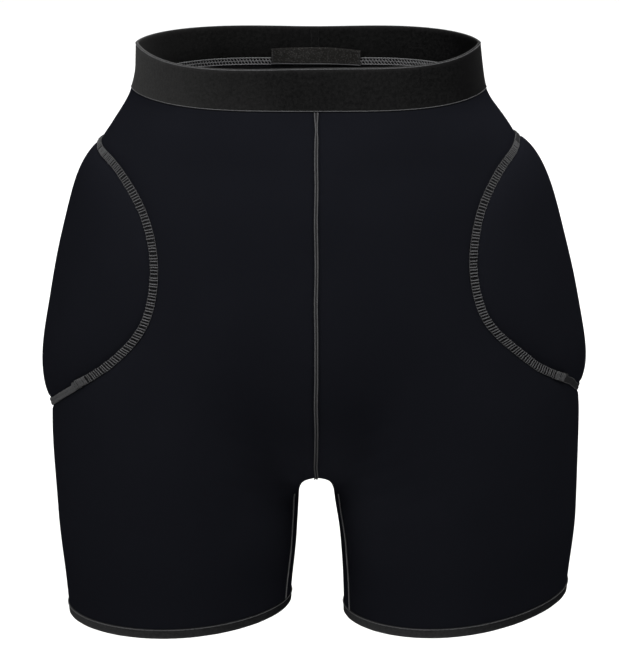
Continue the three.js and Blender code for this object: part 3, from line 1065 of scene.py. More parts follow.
@dataclass(frozen=True)
class Finish(ABC):
    """A finish of the shorts.

    Attributes:
        name: The finish in plain words.
        slot: The part's material slot.
        colour: Colour in the hollows.
        pale: Colour of raised and worn fibres, and of painted light.
        roughness: Usual roughness.
        specular: Strength of the plain reflection.
        relief: Height of the pattern.
        drift: How far the tone drifts towards the pale colour.
    """

    name: str
    slot: str
    colour: tuple[float, float, float]
    pale: tuple[float, float, float]
    roughness: float
    specular: float
    relief: float
    drift: float

    @abstractmethod
    def pattern(self, graph: Graph, cloth: Socket, place: Socket) -> tuple[Socket, Socket]:
        """Draws the finish's own pattern.

        Args:
            graph: The material's graph.
            cloth: Coordinates along the cloth.
            place: Coordinates in the part's frame.

        Returns:
            The pattern's height and the share of pale colour.
        """

    def material(self) -> bpy.types.Material:
        """Makes the material, or finds the one that was made.

        Returns:
            The material.
        """
        found = bpy.data.materials.get(self.name)
        if found is not None:
            return found
        made = bpy.data.materials.new(self.name)
        made.use_nodes = True
        made.node_tree.nodes.clear()
        graph = Graph(made.node_tree)
        cloth = graph.add("ShaderNodeUVMap", uv_map=CLOTH_MAP).outputs["UV"]
        place = graph.add("ShaderNodeTexCoord").outputs["Object"]
        # Reads each point's wear and its painted light and shade.
        wear_and_painted_light = graph.add("ShaderNodeAttribute", attribute_name=WEAR_AND_LIGHT_LAYER).outputs["Fac"]
        height, shade = self.pattern(graph, cloth, place)
        (tone,) = DRIFT.place(graph, place)
        (wear_and_light_mask,) = WEAR_AND_LIGHT.place(graph, place, Wear_and_light=wear_and_painted_light)
        tinted = graph.math("MULTIPLY_ADD", graph.math("SUBTRACT", tone, 0.5), self.drift, shade)
        # Wear and painted light raise the share of pale colour, and painted shade lowers it.
        share = graph.math("MULTIPLY_ADD", wear_and_light_mask, 0.5, tinted)
        rough = graph.math("MULTIPLY_ADD", tone, 0.12, self.roughness - 0.06)
        raised = {"Distance": self.relief * MM, "Height": height}
        surface = {
            "Base Color": graph.blend(share, self.colour, self.pale),
            "Roughness": graph.math("MULTIPLY_ADD", share, -0.04, rough),
            "Specular IOR Level": self.specular,
            "Normal": graph.result("ShaderNodeBump", "Normal", raised),
        }
        shader = graph.result("ShaderNodeBsdfPrincipled", "BSDF", surface)
        graph.feed(graph.add("ShaderNodeOutputMaterial").inputs["Surface"], shader)
        return made


@dataclass(frozen=True)
class KnitFinish(Finish):
    """Knitted stretch cloth with a little lint."""

    wale: float
    course: float

    def pattern(self, graph: Graph, cloth: Socket, place: Socket) -> tuple[Socket, Socket]:
        """Draws the knit's height and pale share."""
        height, shade = KNIT.place(graph, cloth, Wale=self.wale, Course=self.course)
        (lint,) = SPECKS.place(graph, place, Spacing=7.0, Size=0.045, Cover=0.45)
        return height, graph.math("MULTIPLY_ADD", shade, 0.35, graph.math("MULTIPLY", lint, 0.5))


@dataclass(frozen=True)
class WovenFinish(Finish):
    """Woven elastic or tape with a soft nap."""

    warp: float
    weft: float
    nap: float
    fleck: float
    fleck_size: float
    fleck_cover: float

    def pattern(self, graph: Graph, cloth: Socket, place: Socket) -> tuple[Socket, Socket]:
        """Draws the weave's height and pale share."""
        height, shade = WEAVE.place(graph, cloth, Warp=self.warp, Weft=self.weft, Nap=self.nap)
        (lint,) = SPECKS.place(graph, place, Spacing=self.fleck, Size=self.fleck_size, Cover=self.fleck_cover)
        return height, graph.math("MULTIPLY_ADD", shade, 0.5, graph.math("MULTIPLY", lint, 0.6))


@dataclass(frozen=True)
class ThreadFinish(Finish):
    """Twisted sewing thread."""

    twist: float

    def pattern(self, graph: Graph, cloth: Socket, place: Socket) -> tuple[Socket, Socket]:
        """Draws the twist's height and pale share."""
        height, shade = PLY.place(graph, cloth, Twist=self.twist)
        return height, graph.math("MULTIPLY", shade, 0.6)


@dataclass(frozen=True)
class FoamFinish(Finish):
    """Soft foam with fine open cells."""

    cell: float

    def pattern(self, graph: Graph, cloth: Socket, place: Socket) -> tuple[Socket, Socket]:
        """Draws the cells' depth and pale share."""
        (cells_mask,) = SPECKS.place(graph, place, Spacing=self.cell, Size=0.55, Cover=1.0)
        height = graph.math("SUBTRACT", 1.0, cells_mask)
        return height, graph.math("MULTIPLY", height, 0.4)


# Its pale colour is also the colour of the painted light at the fork.
CLOTH = KnitFinish(
    name="Stretch cloth",
    slot="stretch_cloth",
    colour=(0.0052, 0.0055, 0.0073),
    pale=(0.0108, 0.0113, 0.0146),
    roughness=0.9,
    specular=0.0,
    relief=0.05,
    drift=0.35,
    wale=0.75,
    course=0.62,
)
# Its pale colour is also the colour of the painted light on the band.
ELASTIC = WovenFinish(
    name="Brushed elastic",
    slot="elastic",
    colour=(0.0018, 0.0018, 0.0019),
    pale=(0.0240, 0.0239, 0.0236),
    roughness=0.6,
    specular=0.01,
    relief=0.12,
    drift=0.3,
    warp=0.9,
    weft=0.75,
    nap=0.45,
    fleck=3.6,
    fleck_size=0.13,
    fleck_cover=0.62,
)
# Its pale colour is also the colour of the painted light on the hems.
BINDING = WovenFinish(
    name="Hem binding",
    slot="binding",
    colour=(0.0050, 0.0051, 0.0055),
    pale=(0.0360, 0.0361, 0.0368),
    roughness=0.85,
    specular=0.0,
    relief=0.08,
    drift=0.4,
    warp=0.7,
    weft=0.9,
    nap=0.6,
    fleck=2.6,
    fleck_size=0.2,
    fleck_cover=0.8,
)
SEAM_GROUND = KnitFinish(
    name="Seam ground",
    slot="thread",
    colour=(0.0045, 0.0046, 0.0050),
    pale=(0.0320, 0.0320, 0.0330),
    roughness=0.88,
    specular=0.0,
    relief=0.05,
    drift=0.3,
    wale=0.6,
    course=0.5,
)
THREAD = ThreadFinish(
    name="Grey thread",
    slot="thread",
    colour=(0.0280, 0.0280, 0.0290),
    pale=(0.0780, 0.0780, 0.0800),
    roughness=0.75,
    specular=0.02,
    relief=0.08,
    drift=0.35,
    twist=1.1,
)
PALE_THREAD = replace(
    THREAD,
    name="Pale thread",
    colour=(0.0420, 0.0420, 0.0430),
    pale=(0.1300, 0.1300, 0.1330),
)
TAPE = WovenFinish(
    name="Woven tab",
    slot="woven_tab",
    colour=(0.0075, 0.0072, 0.0068),
    pale=(0.0950, 0.0925, 0.0890),
    roughness=0.75,
    specular=0.02,
    relief=0.04,
    drift=0.3,
    warp=0.9,
    weft=0.8,
    nap=0.1,
    fleck=1.3,
    fleck_size=0.5,
    fleck_cover=1.4,
)
FOAM = FoamFinish(
    name="Pad foam",
    slot="foam",
    colour=(0.0120, 0.0125, 0.0140),
    pale=(0.0300, 0.0310, 0.0350),
    roughness=0.92,
    specular=0.15,
    relief=0.25,
    drift=0.3,
    cell=0.9,
)


def rounded_loop(thick: float, tall: float, corner: float, faces: int, bends: int) -> tuple[Array, Array]:
    """Draws the cross-section of a flat band with rounded edges.

    Args:
        thick: Thickness, which runs inwards from an offset of 0.
        tall: Height, which runs up from 0.
        corner: Radius of the edges.
        faces: Steps up each face.
        bends: Steps round each corner.

    Returns:
        Offsets and heights of the loop, up the outer face and down the inner one.
    """
    offsets = []
    heights = []
    turns = np.linspace(0, math.pi / 2, bends + 1)
    face = np.linspace(corner, tall - corner, faces + 1)[1:-1]
    inner = corner - thick
    upper = tall - corner
    centres = ((-corner, corner), (-corner, upper), (inner, upper), (inner, corner))
    for quarter, (offset, height) in enumerate(centres):
        way = turns + (quarter - 1) * math.pi / 2
        offsets.append(offset + corner * np.cos(way))
        heights.append(height + corner * np.sin(way))
        if quarter == 0:
            offsets.append(np.zeros(len(face)))
            heights.append(face)
        elif quarter == 2:
            offsets.append(np.full(len(face), -thick))
            heights.append(face[::-1])
    return np.concatenate(offsets), np.concatenate(heights)


@dataclass(frozen=True)
class Flatlock:
    """A flat raised seam: a soft ground crossed by thread bars between two thread rails.

    Attributes:
        width: Width of the seam with its rails.
        pitch: Length from bar to bar.
        low: Height of its underside over the cloth.
        high: Height of its crown over the cloth.
        bar: Radius of the bars.
        rail: Radius of the rails.
        lean: How many half pitches each bar leans along the seam.
        uneven: How much the bars differ in height, as a share of their radius.
    """

    width: float
    pitch: float
    low: float = -0.15
    high: float = 0.8
    bar: float = 0.32
    rail: float = 0.3
    lean: float = 0.7
    uneven: float = 0.6

    def lift(self, offset: float) -> float:
        """Gives the height of the seam's upper side at an offset from its middle."""
        return self.high - (self.high - self.low) * 0.6 * abs(2 * offset / self.width) ** 4

    def bars(self, skin: Skin, line: SeamLine, chosen: Array, seed: int) -> None:
        """Adds the thread bars that cross the seam.

        Args:
            skin: The piece.
            line: As for the whole seam.
            chosen: Numbers of the half pitches at which the bars start.
            seed: Picks how the bars differ.
        """
        maker = np.random.default_rng(seed)
        sink = maker.uniform(-1, 0.3, size=len(chosen))[:, None] * self.uneven * self.bar
        skew = maker.uniform(-0.25, 0.25, size=len(chosen))[:, None]
        shift = maker.uniform(-0.3, 0.3, size=len(chosen))[:, None]
        stretch = maker.uniform(0.9, 1.12, size=(len(chosen), 1, 1))
        path = []
        ups = []
        for offset in np.linspace(-1, 1, 7) * (self.width / 2 - self.rail):
            points, normals = line(offset)
            here = points[chosen]
            after = points[chosen + 1]
            across = offset / self.width
            share = self.lean * (across + 0.5) + skew * (1 - abs(2 * across)) + shift
            raised = normals[chosen] * (self.lift(offset) + 0.75 * self.bar + sink)
            path.append(here + (after - here) * share + raised)
            ups.append(normals[chosen])
        paths = np.stack(path, axis=1)
        middle = paths.mean(axis=1, keepdims=True)
        skin.threads(middle + (paths - middle) * stretch, np.stack(ups, axis=1), self.bar)

    def sew(self, skin: Skin, line: SeamLine, cover: Array, seed: int = 1) -> None:
        """Adds the seam to a piece.

        Args:
            skin: The piece.
            line: Gives the points and directions of a line beside the seam's middle, in half pitches.
            cover: How closely the bars lie, as Bars, for each half pitch.
            seed: Picks how the bars differ.
        """
        offsets = np.linspace(-0.5, 0.5, 9) * self.width
        lines = [line(offset) for offset in offsets]
        top = [p + n * self.lift(offset) for offset, (p, n) in zip(offsets, lines)]
        under = [p + n * self.low for p, n in lines[::-4]]
        skin.sweep(np.stack(top + under), False, np.where(cover == Bars.NONE, 1.0, 0.0))
        steps = np.arange(len(cover) - 1)
        wanted = (cover[:-1] != Bars.NONE) & (steps % np.maximum(cover[:-1], 1) == 0)
        if wanted.any():
            self.bars(skin, line, steps[wanted], seed)
        for way in (-1, 1):
            offset = way * (self.width / 2 - self.rail)
            points, normals = line(offset)
            wave = 0.25 * self.rail * np.cos(math.pi * np.arange(len(cover)))[:, None]
            raised = points + normals * (self.lift(offset) + 0.55 * self.rail + wave)
            skin.threads(raised[None], normals[None], self.rail)


@dataclass(frozen=True)
class StitchRow:
    """A row of plain stitches that lie on the cloth and dip into it at both ends."""

    pitch: float
    radius: float
    filled: float = 0.78
    steps: ClassVar[int] = 5

    def sew(self, skin: Skin, points: Array, normals: Array) -> None:
        """Adds the stitches to a piece.

        Args:
            skin: The piece.
            points: A closed line on the cloth with a few points for each stitch, as count_for gives.
            normals: The direction away from the cloth at each point.
        """
        groups = points.reshape(-1, self.steps, 3)
        ups = normals.reshape(-1, self.steps, 3)
        after = np.roll(groups[:, 0], -1, axis=0)
        share = np.linspace(0, self.filled, self.steps)[:, None]
        run = groups[:, :1] + (after - groups[:, 0])[:, None] * share
        dip = np.array([-0.9, 0.5, 0.75, 0.5, -0.9])[:, None] * self.radius
        skin.threads(run + ups * dip, ups, self.radius)

    def count_for(self, length: float) -> int:
        """Gives the number of points that a line of some length needs."""
        return self.steps * round(length / self.pitch)


@dataclass
class Waistband:
    """The wide elastic round the waist, with its inside seam and the bare woven tab at the back."""

    form: BodyForm
    wall: float = 2.2
    proud: float = 0.4
    top: float = 16.5
    bottom: float = -17
    rim_drop_front: float = 2.2
    rim_drop_back: float = 2.6
    rim_quarter: float = 1.7
    rim_lean: float = 0.9
    rim_worn: float = 0.06
    crown: float = 0.2
    # Painted light at the wearer's right of the band, and painted shade towards the left.
    painted_light_turn: float = 195
    painted_light_power: float = 4
    painted_light_strength: float = 1.8
    shaded_turn: float = -12
    shaded_spread: float = 26
    shaded_dark: float = 0.75
    shaded_inside: float = 0.3
    columns: int = 420
    girth: float = 690
    edge_cord: float = 0.3
    join_left: float = 3.2
    join_right: float = -4.6
    seam_top: float = -9.9
    seam_bottom: float = -15.9
    seam_foot: float = -18.8
    seam_pitch: float = 2.5
    seam_thread: float = 0.42
    tab_width: float = 66
    tab_top: float = -1.6
    tab_bottom: float = -14.6
    tab_thick: float = 0.7
    tab_clear: float = 1.6
    cut: Cut = Cut(width=34, length=600)
    tab_cut: Cut = Cut(width=15.5, length=66, hold=Hold.LAID)

    def rim(self, turn: Array) -> Array:
        """Gives the height of the top edge, which dips a little at the front and the back.

        Args:
            turn: Angles round the waist.

        Returns:
            The height at each angle.
        """
        quarter = np.abs(np.sin(2 * turn))
        dip = self.rim_drop_front * np.sin(turn) ** 2 + self.rim_quarter * quarter**2
        front = self.top - dip + np.where(np.cos(turn) > 0, 1, -1) * self.rim_lean * quarter
        return np.where(np.sin(turn) < 0, front, self.top - self.rim_drop_back * np.sin(turn) ** 2)

    def painted_light_and_shade(self, turn: Array) -> Array:
        """Gives the painted light on the elastic at the wearer's right, and the painted shade at the left.

        Args:
            turn: Angles round the waist.

        Returns:
            How much paler the painted light makes the elastic at each angle, less than 0 under painted shade.
        """
        ahead = np.cos(turn - math.radians(self.painted_light_turn))
        pale = self.painted_light_strength * np.clip(ahead, 0, 1) ** self.painted_light_power
        dark = self.shaded_dark * bump(np.degrees(turn), self.shaded_turn, self.shaded_spread)
        return pale - dark - self.shaded_inside * np.clip(-ahead, 0, 1) ** self.painted_light_power

    def band(self) -> None:
        """Makes the elastic with its edge cords and the join at the back."""
        skin = Skin()
        turns = self.form.even_turns(0.0, self.girth / self.columns)
        tall = self.rim(turns) - self.bottom
        offsets, heights = rounded_loop(self.wall, self.top - self.bottom, 0.8, 22, 4)
        share = heights / (self.top - self.bottom)
        z = self.bottom + share[:, None] * tall[None, :]
        points, normals = self.form.waist(turns[None, :], z)
        bulge = self.crown * np.sin(math.pi * share) ** 2
        points = points + normals * (self.proud + offsets + bulge)[:, None, None]
        # Worn top edge, plus painted light at the wearer's right and painted shade at the left.
        wear_and_painted_light = bump(share, 1, self.rim_worn)[:, None] + self.painted_light_and_shade(turns)[None, :]
        skin.sweep(points, True, wear_and_painted_light)
        cord_turns = self.form.even_turns(0.0, 1.6)
        for z_cord in (self.rim(cord_turns) - 0.75, np.full(len(cord_turns), self.bottom + 0.7)):
            at, out = self.form.waist(cord_turns, z_cord)
            wave = 0.08 * np.cos(math.pi * np.arange(len(cord_turns)))[:, None]
            path = at + out * (self.proud - 0.02 + wave)
            skin.threads(path[None], out[None], self.edge_cord, closed=True, sides=7)
        self.join(skin)
        skin.piece("waistband", [ELASTIC, THREAD], self.cut)

    def inside_patch(self, x: Array, z: Array, offset: Array) -> Array:
        """Places points inside the back of the band.

        Args:
            x: Places across.
            z: Heights.
            offset: Distance out from the body form, negative inside.

        Returns:
            The points.
        """
        y = self.form.depth(x, z, 1)
        points = np.stack([x, y, z], axis=-1)
        normals = unit(self.form.normal(points) * (1, 1, 0))
        return points + normals * offset[..., None]

    def join(self, skin: Skin) -> None:
        """Adds the overlapped ends of the elastic inside the middle of the back, with their stitches.

        Args:
            skin: The waistband.
        """
        u, v = np.meshgrid(np.linspace(0, 1, 13), np.linspace(0, 1, 19))
        x = self.join_right + (self.join_left - self.join_right) * u
        low = self.seam_top + 0.6
        high = self.top - self.rim_drop_back - 1.6
        z = low + (high - low) * v
        inside = self.proud - self.wall
        edge = np.clip(np.minimum(np.minimum(u, 1 - u) / 0.16, np.minimum(v, 1 - v) / 0.08), 0, 1)
        inner = self.inside_patch(x, z, inside - 0.05 - 0.5 * np.sqrt(edge))
        outer = self.inside_patch(x, z, np.full(x.shape, inside + 0.4))
        uv = cloth_places(x, z)
        skin.shell(outer, inner, [cells(*x.shape)], uv)
        for place in (self.join_right + 1.3, self.join_left - 1.3):
            z = low + (high - low) * np.linspace(0.05, 0.95, 13)
            zig = place + 0.5 * np.cos(math.pi * np.arange(13))
            path = self.inside_patch(zig, z, np.full(13, inside - 0.6))
            ups = np.broadcast_to(INWARD, path.shape)
            skin.threads(path[None], ups[None], 0.16, sides=5, coat=Coat.GROUND)

    def seam(self) -> None:
        """Makes the lattice of slanted threads that sews the band to the panels, on its ground."""
        skin = Skin()
        inside = self.proud - self.wall - GAP
        turns = self.form.even_turns(self.seam_bottom, 3.0)
        offsets, heights = rounded_loop(0.3, self.seam_top - self.seam_foot, 0.12, 6, 2)
        z = self.seam_foot + heights[:, None] + 0 * turns[None, :]
        points, normals = self.form.waist(turns[None, :], z)
        skin.sweep(points + normals * (inside + offsets)[:, None, None], True)
        turns = self.form.even_turns(self.seam_bottom, self.seam_pitch / 4)
        turns = turns[: len(turns) // 4 * 4]
        low = self.seam_bottom + self.seam_thread
        high = self.seam_top - self.seam_thread
        lift = inside - 0.3 - self.seam_thread * 0.55
        slant = np.arange(0, len(turns), 4)[:, None] + np.arange(6)[None, :]
        slant_turns = turns[slant % len(turns)]
        maker = np.random.default_rng(23)
        unevenness = maker.uniform(-0.12, 0.12, size=(len(slant), 1))
        rise = np.broadcast_to(np.linspace(low, high, 6), slant.shape) + unevenness
        at, out = self.form.waist(slant_turns, rise)
        arch = np.array([0.35, 0, -0.1, -0.1, 0, 0.35]) * self.seam_thread
        skin.threads(at + out * (lift + arch[:, None]), -out, self.seam_thread)
        for share, thick in ((0.02, 0.9), (0.5, 0.8), (0.98, 0.9)):
            wave = 0.12 * np.cos(math.pi / 2 * np.arange(len(turns)))
            at, out = self.form.waist(turns, low + (high - low) * share + wave)
            path = at + out * (lift - 0.25 * self.seam_thread)
            skin.threads(path[None], -out[None], self.seam_thread * thick, closed=True)
        skin.piece("waist_seam", [SEAM_GROUND, PALE_THREAD])

    def tab(self) -> None:
        """Makes the bare woven tab, with folded ends sewn down."""
        skin = Skin()
        u, v = np.meshgrid(np.linspace(-1, 1, 65), np.linspace(-1, 1, 17))
        x = self.tab_width / 2 * u
        middle = (self.tab_top + self.tab_bottom) / 2
        half = (self.tab_top - self.tab_bottom) / 2
        z = middle + half * v + self.droop(u, v)
        inside = self.proud - self.wall - GAP - self.tab_clear
        wave = 0.22 * np.sin(6.5 * u + 0.8) * np.cos(1.2 * v) - 0.3 * np.clip(v, 0, 1) ** 3
        fold = 0.35 * smooth((np.abs(u) - 0.94) / 0.03)
        edge = np.clip(np.minimum((1 - np.abs(u)) * self.tab_width / 2, (1 - np.abs(v)) * half) / 0.5, 0, 1)
        thick = self.tab_thick * (0.45 + 0.55 * np.sqrt(edge)) + fold
        outer = self.inside_patch(x, z, inside + wave)
        inner = self.inside_patch(x, z, inside + wave - thick)
        uv = cloth_places(x, z)
        skin.shell(outer, inner, [cells(*u.shape)], uv)
        row = np.linspace(-0.86, 0.86, 17)
        for end in (-0.965, 0.965):
            for first in range(0, 16, 2):
                v_stitch = np.linspace(row[first], row[first + 1], 5)
                z_stitch = middle + half * v_stitch + self.droop(end, v_stitch)
                x_stitch = np.full(5, end * self.tab_width / 2)
                lift = np.array([0.2, -0.3, -0.4, -0.3, 0.2]) * 0.5
                path = self.inside_patch(x_stitch, z_stitch, inside - self.tab_thick - 0.35 + lift)
                skin.threads(path[None], np.broadcast_to(INWARD, (1, 5, 3)), 0.17, sides=5)
        along = np.linspace(-1, 1, 65)
        z_edge = middle - half + 0.1 + self.droop(along, np.full(65, -1.0))
        path = self.inside_patch(self.tab_width / 2 * along, z_edge, np.full(65, inside - self.tab_thick / 2))
        skin.threads(path[None], np.broadcast_to(INWARD, (1, 65, 3)), 0.45)
        skin.piece("inner_tab", [TAPE, THREAD], self.tab_cut)

    @staticmethod
    def droop(u: Array | float, v: Array) -> Array:
        """Gives how far the tab hangs out of true, most of all at its left end.

        Args:
            u: Places across the tab, from -1 to 1.
            v: Places up the tab, from -1 to 1.

        Returns:
            The height to add at each place.
        """
        top = -1.3 * np.where(np.asarray(u) < 0, 1.0, 2.3) * np.square(u)
        bottom = -1.5 * np.square(np.maximum(u, 0))
        return bottom + (top - bottom) * (v + 1) / 2

    def build(self) -> None:
        """Makes all pieces of the waist."""
        self.band()
        self.seam()
        self.tab()


@dataclass
class HipGuard:
    """One hip's domed cover, the foam pad under it and the flatlock seam round it."""

    form: BodyForm
    leg: Leg
    centre: float = -4.7
    reach_front: float = 47.4
    reach_back: float = 60
    tilt: float = 2.3
    bow: float = 17.2
    square_top: float = 5.7
    square_low: float = 2.5
    square_back: float = 2.1
    top_turn: float = -5
    top_spread: float = 16
    dome_height: float = 9
    dome_edge: float = 6.5
    pad_reach: float = 0.93
    pad_clear: float = 0.15
    pad_parting: float = 0.45
    pad_rim: float = 0.15
    pad_round: float = 0.03
    cloth_radius: float = 155
    seam_radius: float = 128
    wall: float = 1.6
    spokes: int = 240
    rings: int = 46
    seam_kind: Flatlock = Flatlock(width=5.7, pitch=2.3, low=-1.0, high=0.6, bar=0.44, rail=0.15)
    pucker: Pucker = Pucker()
    ripples: Ripples = Ripples(depth=0.15, length=46, seed=11)
    knot_overlap: float = 4
    knot_lap: float = 13
    knot_tip: float = 2.6
    knot_dense: float = 11
    ear_at: float = 6.8
    ear_length: float = 2.2
    first_end: float = 70
    crest: tuple[float, float] = (75, 116)
    cut: Cut = Cut(width=270, length=185, filled=0.8)

    @property
    def middle(self) -> float:
        """Height of the oval's middle."""
        return (self.leg.hip_top + self.leg.hip_bottom) / 2

    @property
    def half(self) -> float:
        """Half of the oval's height."""
        return (self.leg.hip_top - self.leg.hip_bottom) / 2

    def place(self, turn: Array, share: Array) -> tuple[Array, Array]:
        """Turns a place in the oval into an angle from the side line and a height.

        Args:
            turn: Angle round the oval.
            share: Distance out from its middle, 1 at its edge.

        Returns:
            The angle and the height.
        """
        square = self.square(np.cos(turn), np.sin(turn))
        bulk = np.abs(np.cos(turn)) ** square + np.abs(np.sin(turn)) ** square
        out = share * bulk ** (-1 / square)
        angle = self.angle(out * np.cos(turn), out * np.sin(turn))
        return angle, self.middle + self.half_at(angle, np.sin(turn)) * out * np.sin(turn)

    def half_at(self, angle: Array, above: Array) -> Array:
        """Gives the half height at an angle, more over the hip for a place above the middle."""
        rise = self.leg.hip_rise * bump(np.degrees(angle), self.top_turn, self.top_spread)
        return self.half + np.where(above > 0, rise, 0.0)

    def square(self, across: Array, up: Array) -> Array:
        """Gives the fullness of the oval's quarters: 2 is an ellipse, more is fuller."""
        front = np.where(up > 0, self.square_top, self.square_low)
        return np.where(across < 0, front, self.square_back)

    def angle(self, across: Array, up: Array) -> Array:
        """Turns a place across and up in the oval into an angle from the side line."""
        reach = np.where(across < 0, self.reach_front, self.reach_back)
        return np.radians(self.centre + reach * across - self.tilt * up + self.bow * up * up)

    def locate(self, angle: Array, z: Array) -> tuple[Array, Array, Array]:
        """Finds where places on the half lie in the oval.

        Args:
            angle: Angles from the side line.
            z: Heights.

        Returns:
            The place across and up in the oval, and the share of the way to its edge.
        """
        up = (z - self.middle) / self.half_at(angle, z - self.middle)
        side = np.degrees(angle) - self.centre + self.tilt * up - self.bow * up * up
        across = side / np.where(side < 0, self.reach_front, self.reach_back)
        square = self.square(across, up)
        share = (np.abs(across) ** square + np.abs(up) ** square) ** (1 / square)
        return across, up, share

    @cached_property
    def edge_reach(self) -> tuple[Array, Array]:
        """Turns round the oval, and the millimetres that a whole share spans across its edge there."""
        turn = np.linspace(0, 2 * math.pi, 721)
        step = 0.01
        ahead = self.form.point(self.leg, *self.place(turn + step, 1.0))
        along = unit(ahead - self.form.point(self.leg, *self.place(turn - step, 1.0)))
        wider = self.form.point(self.leg, *self.place(turn, 1 + step))
        out = (wider - self.form.point(self.leg, *self.place(turn, 1.0))) / step
        across = out - along * np.sum(out * along, axis=1, keepdims=True)
        return turn, np.linalg.norm(across, axis=1)

    def reach_at(self, turn: Array) -> Array:
        """Gives the millimetres that a whole share spans across the edge."""
        return np.interp(turn, *self.edge_reach, period=2 * math.pi)

    def share_at(self, turn: Array, distance: Array | float) -> Array:
        """Gives the share of the oval at a distance outside its edge."""
        return 1 + distance / self.reach_at(turn)

    def drawn_in(self, turn: Array, share: Array) -> Array:
        """Gives how far the seam draws the cloth in on both of its sides."""
        distance = np.abs(share - 1) * self.reach_at(turn) - self.seam_kind.width / 2
        return self.pucker.at(distance, turn * self.seam_radius)

    def dome(self, share: Array) -> Array:
        """Gives how far the pad lifts the cover."""
        return self.dome_height * (1 - np.minimum(share, 1.0) ** self.dome_edge)

    def patch(self, shares: Array, offsets: Array, drawn: bool) -> Array:
        """Places points over the oval.

        Args:
            shares: Distance of each ring from the middle.
            offsets: Height of each ring over the body form.
            drawn: Whether the cloth's ripples and gathers are added.

        Returns:
            Points by ring and spoke.
        """
        turn = 2 * math.pi * np.arange(self.spokes) / self.spokes
        angle, z = self.place(turn[None, :], shares[:, None])
        points = self.form.point(self.leg, angle, z)
        lift = offsets[:, None] + np.zeros(z.shape)
        if drawn:
            gathers = self.drawn_in(turn[None, :], shares[:, None])
            lift = lift + gathers + self.ripples.at(points) * smooth((1 - shares[:, None]) / 0.12)
        return points + self.form.normal(points) * lift[..., None]

    def polar_faces(self, rings: int) -> tuple[list[Array], Array]:
        """Numbers the faces of a patch of rings that closes at its middle.

        Args:
            rings: Number of rings, the last of which is drawn together into one point.

        Returns:
            The blocks of faces, and for each point the one that stands for it.
        """
        columns = self.spokes + 1
        weld = np.arange(rings * columns).reshape(rings, columns)
        weld[:, -1] = weld[:, 0]
        weld[-1] = weld[-1, 0]
        block = cells(rings, columns)
        whole = block[: (rings - 2) * self.spokes]
        tip = block[(rings - 2) * self.spokes :]
        return [whole, tip[:, [0, 1, 3]]], weld.ravel()

    def closed_rings(self, points: Array) -> Array:
        """Repeats each ring's first point at its end."""
        return np.concatenate([points, points[:, :1]], axis=1)

    def cloth_map(self, shares: Array) -> Array:
        """Gives cloth coordinates over the oval, in metres.

        Args:
            shares: Distance of each ring from the middle.

        Returns:
            Coordinates of all points.
        """
        turn = 2 * math.pi * np.arange(self.spokes + 1) / self.spokes
        across = self.cloth_radius * math.radians(self.reach_front) * shares[:, None] * np.cos(turn)
        up = self.half * shares[:, None] * np.sin(turn)
        return cloth_places(across, up)

    def cover(self) -> None:
        """Makes the domed cloth cover."""
        shares = 1 - np.linspace(0, 1, self.rings) ** 1.4
        faces, weld = self.polar_faces(self.rings)
        outer = self.closed_rings(self.patch(shares, self.dome(shares), True))
        inner = self.closed_rings(self.patch(shares, self.dome(shares) - self.wall, True))
        skin = Skin()
        skin.shell(outer, inner, faces, self.cloth_map(shares), weld)
        skin.piece(f"hip_cover_{self.leg.half.value}", [CLOTH], self.cut)

    def pad(self) -> None:
        """Makes the foam pad, with rounded edges."""
        inset = np.concatenate([[0, 0.004, 0.012, 0.024], np.linspace(0.05, 1, 24)])
        shares = self.pad_reach * (1 - inset)
        upper = self.dome(shares) - self.wall - GAP - self.pad_clear
        lower = np.full(len(shares), -self.wall)
        middle = lower + (upper - lower) * self.pad_parting
        round_off = np.sqrt(np.clip(1 - (1 - np.minimum(inset / self.pad_round, 1)) ** 2, 0, 1))
        fullness = self.pad_rim + (1 - self.pad_rim) * round_off
        faces, weld = self.polar_faces(len(shares))
        outer = self.closed_rings(self.patch(shares, middle + (upper - middle) * fullness, False))
        inner = self.closed_rings(self.patch(shares, middle + (lower - middle) * fullness, False))
        skin = Skin()
        skin.shell(outer, inner, faces, self.cloth_map(shares), weld)
        made = skin.piece(f"hip_pad_{self.leg.half.value}", [FOAM])

    def round_trip(self, step: float) -> tuple[Array, Array]:
        """Spaces places evenly along the oval's edge, from the knot once round and a little past it.

        Args:
            step: Length from place to place.

        Returns:
            The turns and the lengths along the edge.
        """
        dense = math.radians(self.leg.knot_turn) + np.linspace(0, 2.1 * math.pi, 1500)
        length = run_lengths(self.form.point(self.leg, *self.place(dense, 1.0)), False)
        whole = float(np.interp(dense[0] + 2 * math.pi, dense, length)) + self.knot_overlap
        lengths = np.linspace(0, whole, 2 * round(whole / step / 2) + 1)
        return np.interp(lengths, length, dense), lengths

    def bars(self, turned: Array, lengths: Array) -> Array:
        """Tells how closely the seam's bars lie: worn smooth in places on the left, packed on the right.

        Args:
            turned: Turns round the oval, in degrees from 0 to 360.
            lengths: Lengths along the seam.

        Returns:
            One of Bars for each place.
        """
        worn = self.leg.half is Half.LEFT
        before, after = self.crest
        cover = np.where(lengths[-1] - lengths < self.knot_dense, Bars.DENSE, Bars.OPEN)
        cover[(turned > before) & (turned < after)] = Bars.NONE if worn else Bars.SPARSE
        cover[lengths < self.first_end] = Bars.NONE if worn else Bars.DENSE
        return cover

